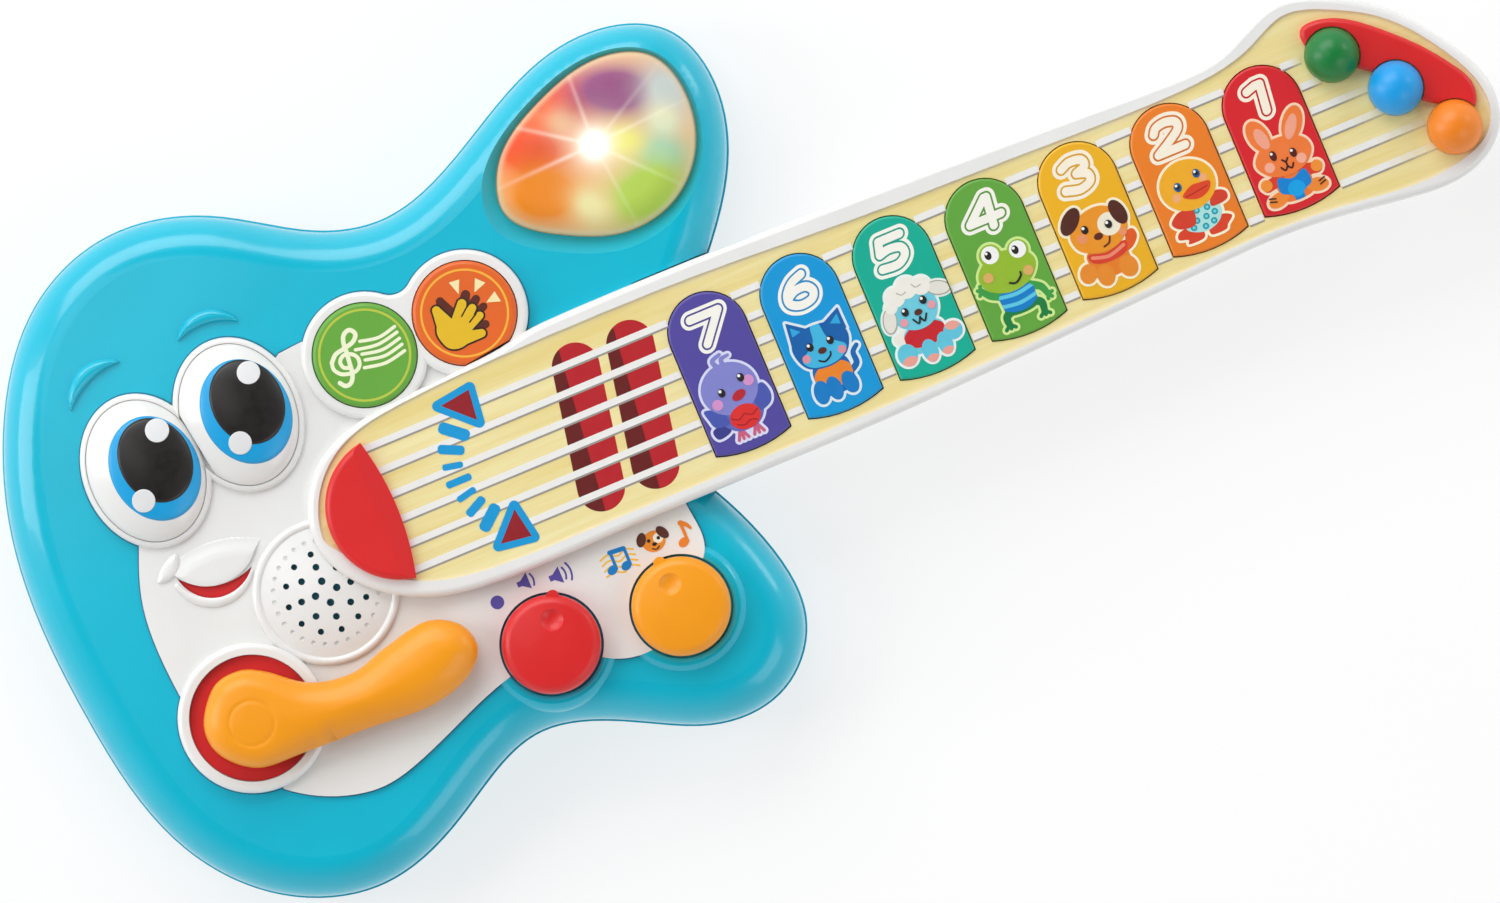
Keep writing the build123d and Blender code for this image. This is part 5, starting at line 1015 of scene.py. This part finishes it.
def lever_profile(depth, x, y):
    """A handle with a nearly round section, flatter over its hub."""
    along = min(1.0, max(0.0, (x + 168.4) / 22))      # 0 over the hub, 1 along the arm
    roll = 8.2 - 3.0 * (1 - along)
    t = min(1.0, depth / roll)
    height = 5.9 * math.sqrt(1 - (1 - t) ** 2)
    crown = 0.6 * min(1.0, max(0.0, depth - 4) / 6)
    groove = 0.22 * math.exp(-((math.hypot(x - HUB[0], y - HUB[1]) - HUB_RING) / 0.45) ** 2)
    return LEVER_SIDE_Z + height + crown - groove


hub_points = [(HUB[0] + radius * cosine_sine(angle)[0], HUB[1] + radius * cosine_sine(angle)[1])
              for radius in (4.8, 5.4, 5.8, 6.2, 6.6, 7.0, 7.6) for angle in range(0, 360, 6)]
vertices, faces = pillow(blob(*LEVER_POINTS), (-186, -100, -62, -22),
                         (0, 0.12, 0.35, 0.7, 1.2, 1.9, 2.8, 3.9, 5.2, 6.6), lever_profile, LEVER_BOTTOM_Z,
                         extra=hub_points)
lever = make_piece("lever_handle", vertices, faces, "whammy_lever", "amber_plastic", smooth=True)
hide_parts("whammy_lever")

# ================================================================ painted shade round the face plate, eyebrows and lips
def outer_loop(node, level):
    """The longest closed line round a node's underside faces at the level."""
    mesh = node.data
    corners = np.array([vertex.co for vertex in mesh.vertices]) / MM
    uses = set()
    for face in mesh.polygons:
        if face.normal.z < -0.9 and all(abs(corners[i][2] - level) < 0.05 for i in face.vertices):
            ring_of = list(face.vertices)
            for a, b in zip(ring_of, ring_of[1:] + ring_of[:1]):
                a, b = tuple(corners[a][:2].round(3)), tuple(corners[b][:2].round(3))
                if (b, a) in uses:
                    uses.remove((b, a))
                else:
                    uses.add((a, b))
    return max(closed_runs(dict(uses)), key=lambda loop: np.ptp(np.array(loop), axis=0).sum())


plate = polygon(outer_loop(NODES["face_plate"], SHELL_Z))
# A thin dark teal ring on the flat blue shell round the face plate: painted shade of the gap between plate and shell.
print_picture("plate_gap_shade", [(cut(grow(plate, 0.4), grow(plate, -0.1)), (0, 116, 150))],
              (-204, -28, -78, 66), SHELL_Z, "guitar", "blue_shell", 0.25)

SMILE_LINE = ((-172.6, 2.6), (-162.6, -3.7), (-150.4, 1.2))
below_smile = grow(polygon(arc_points(*SMILE_LINE) + [(-145.8, 5.0), (-130, -20), (-190, -20), (-176.2, 6.2)]),
                   -0.06)
# points, spread, roll, rise, softness and hollow of each
EYEBROWS = [(((-182, 56.4), (-174.7, 65.5), (-164.9, 63.6), (-174.3, 61.9)), 0.35, 1.9, 1.9, False, None),
            (((-147.4, 62.8), (-139.5, 67.5), (-130.4, 61.5), (-139.1, 64.2)), 0.35, 1.9, 1.9, False, None)]
LIPS = [(((-172.6, 2.6), (-162.4, 4.6), (-150.4, 1.2), (-162.6, -3.7)), 3.6, 5.0, 1.02, True, below_smile),
        (((-173.6, 0.4), (-163.6, -8.9), (-153.4, -3.6), (-163.8, -7.0)), 0.7, 1.9, 1.1, False, mouth),
        (((-177.6, 3.4), (-173.6, 7.2), (-171.0, 8.2), (-172.6, 4.4)), 0.7, 1.9, 1.1, False, mouth)]


def ridge(name, places, surface, slot):
    """Rounded crescents that stand on a flat surface, each spread past its points and cut back from its hollow."""
    vertices, faces = [], []
    for points, spread, roll, rise, soft, hollow in places:
        outline = grow(crescent(*points), spread)

        def height(depth, x, y):
            t = min(1.0, max(0.0, -float(outline(np.array([x]), np.array([y]))[0])) / roll)
            swell = t * t * (3 - 2 * t) if soft else math.sqrt(1 - (1 - t) ** 2)
            return surface + 0.02 + rise * swell

        xs, ys = [p[0] for p in points], [p[1] for p in points]
        window = (min(xs) - spread - 1.6, max(xs) + spread + 1.6, min(ys) - spread - 2.6, max(ys) + spread + 2.6)
        add_part(vertices, faces, pillow(cut(outline, hollow) if hollow else outline, window,
                                         (0, 0.1, 0.3, 0.6, 0.9, 1.2, 1.5), height, surface - 0.3, 0.12))
    make_piece(name, vertices, faces, "guitar", slot, smooth=True)


ridge("eyebrow_ridges", EYEBROWS, SHELL_Z, "blue_shell")
ridge("lip_ridges", LIPS, PLATE_Z, "white_plastic")

# ================================================================ floor, light and camera
VIEW_CENTRE = (-14.0, -26.0)
VIEW_WIDTH = 412.5        # width of the picture at the height VIEW_Z
VIEW_Z = 34.0
LENS = 600.0              # a long lens, so that the view is almost parallel
SENSOR = 36.0
SKY_LOW = 0.85           # the sky is bright near the horizon and darker overhead, so that flat tops keep their colour
SKY_TOP = 0.12


def add_floor():
    half, z = 6.0, -0.0002
    mesh = bpy.data.meshes.new("floor")
    mesh.from_pydata([(-half, -half, z), (half, -half, z), (half, half, z), (-half, half, z)], [], [(0, 1, 2, 3)])
    shader = Shader("floor")
    shader.link(Base_Color=shader.mix(shader.noise(6), linear(150, 150, 150), linear(156, 156, 156)))
    shader.set(Roughness=0.9, Specular_IOR_Level=0.0, Emission_Color=(1, 1, 1, 1), Emission_Strength=0.69)
    mesh.materials.append(shader.material)
    floor = bpy.data.objects.new("floor", mesh)
    bpy.context.scene.collection.objects.link(floor)


def area_light(name, place, target, size, power):
    light = bpy.data.lights.new(name, "AREA")
    light.shape = "RECTANGLE"
    light.size, light.size_y = size
    light.energy = power
    holder = bpy.data.objects.new(name, light)
    holder.location = place
    holder.rotation_euler = (Vector(target) - Vector(place)).to_track_quat("-Z", "Y").to_euler()
    bpy.context.scene.collection.objects.link(holder)


add_floor()
cosine, sine = cosine_sine(VIEW_TURN)
side, up = Vector((cosine, sine, 0)), Vector((-sine, cosine, 0))      # towards the picture's right and its top
for name, (along_side, along_up, height), target, size, power in (
        ("key_light", (-0.8, 1.6, 1.5), (0, 0, 0.03), (2.2, 1.4), 30),
        ("top_light", (-0.55, 0.25, 1.8), (-0.1, 0, 0.03), (0.5, 0.9), 1.6),
        ("side_light", (-1.6, 0, 1.0), (0, 0, 0.03), (0.7, 1.4), 10),
        ("rim_light", (1.5, 1.0, 0.8), (0, 0, 0.03), (0.5, 0.5), 2.5),
        ("fill_light", (1.4, -1.0, 1.6), (0, 0, 0.03), (1.2, 1.2), 6.5)):
    area_light(name, side * along_side + up * along_up + Vector((0, 0, height)), target, size, power)

world = bpy.data.worlds.new("studio")
world.use_nodes = True
sky = world.node_tree
background = sky.nodes["Background"]
background.inputs["Color"].default_value = (1, 1, 1, 1)
direction = sky.nodes.new("ShaderNodeTexCoord")
split = sky.nodes.new("ShaderNodeSeparateXYZ")
slope = sky.nodes.new("ShaderNodeMapRange")
for socket, value in (("From Min", 0.25), ("From Max", 0.95), ("To Min", SKY_LOW), ("To Max", SKY_TOP)):
    slope.inputs[socket].default_value = value
sky.links.new(direction.outputs["Generated"], split.inputs[0])
sky.links.new(split.outputs[2], slope.inputs["Value"])
sky.links.new(slope.outputs[0], background.inputs["Strength"])
bpy.context.scene.world = world
bpy.context.scene.view_settings.view_transform = "Standard"

camera_data = bpy.data.cameras.new("camera")
camera_data.lens = LENS
camera_data.sensor_width = SENSOR
camera_data.clip_end = 50.0
camera = bpy.data.objects.new("camera", camera_data)
camera.location = (VIEW_CENTRE[0] * MM, VIEW_CENTRE[1] * MM, (VIEW_Z + VIEW_WIDTH / SENSOR * LENS) * MM)
camera.rotation_euler = (0, 0, math.radians(VIEW_TURN))
bpy.context.scene.collection.objects.link(camera)
bpy.context.scene.camera = camera
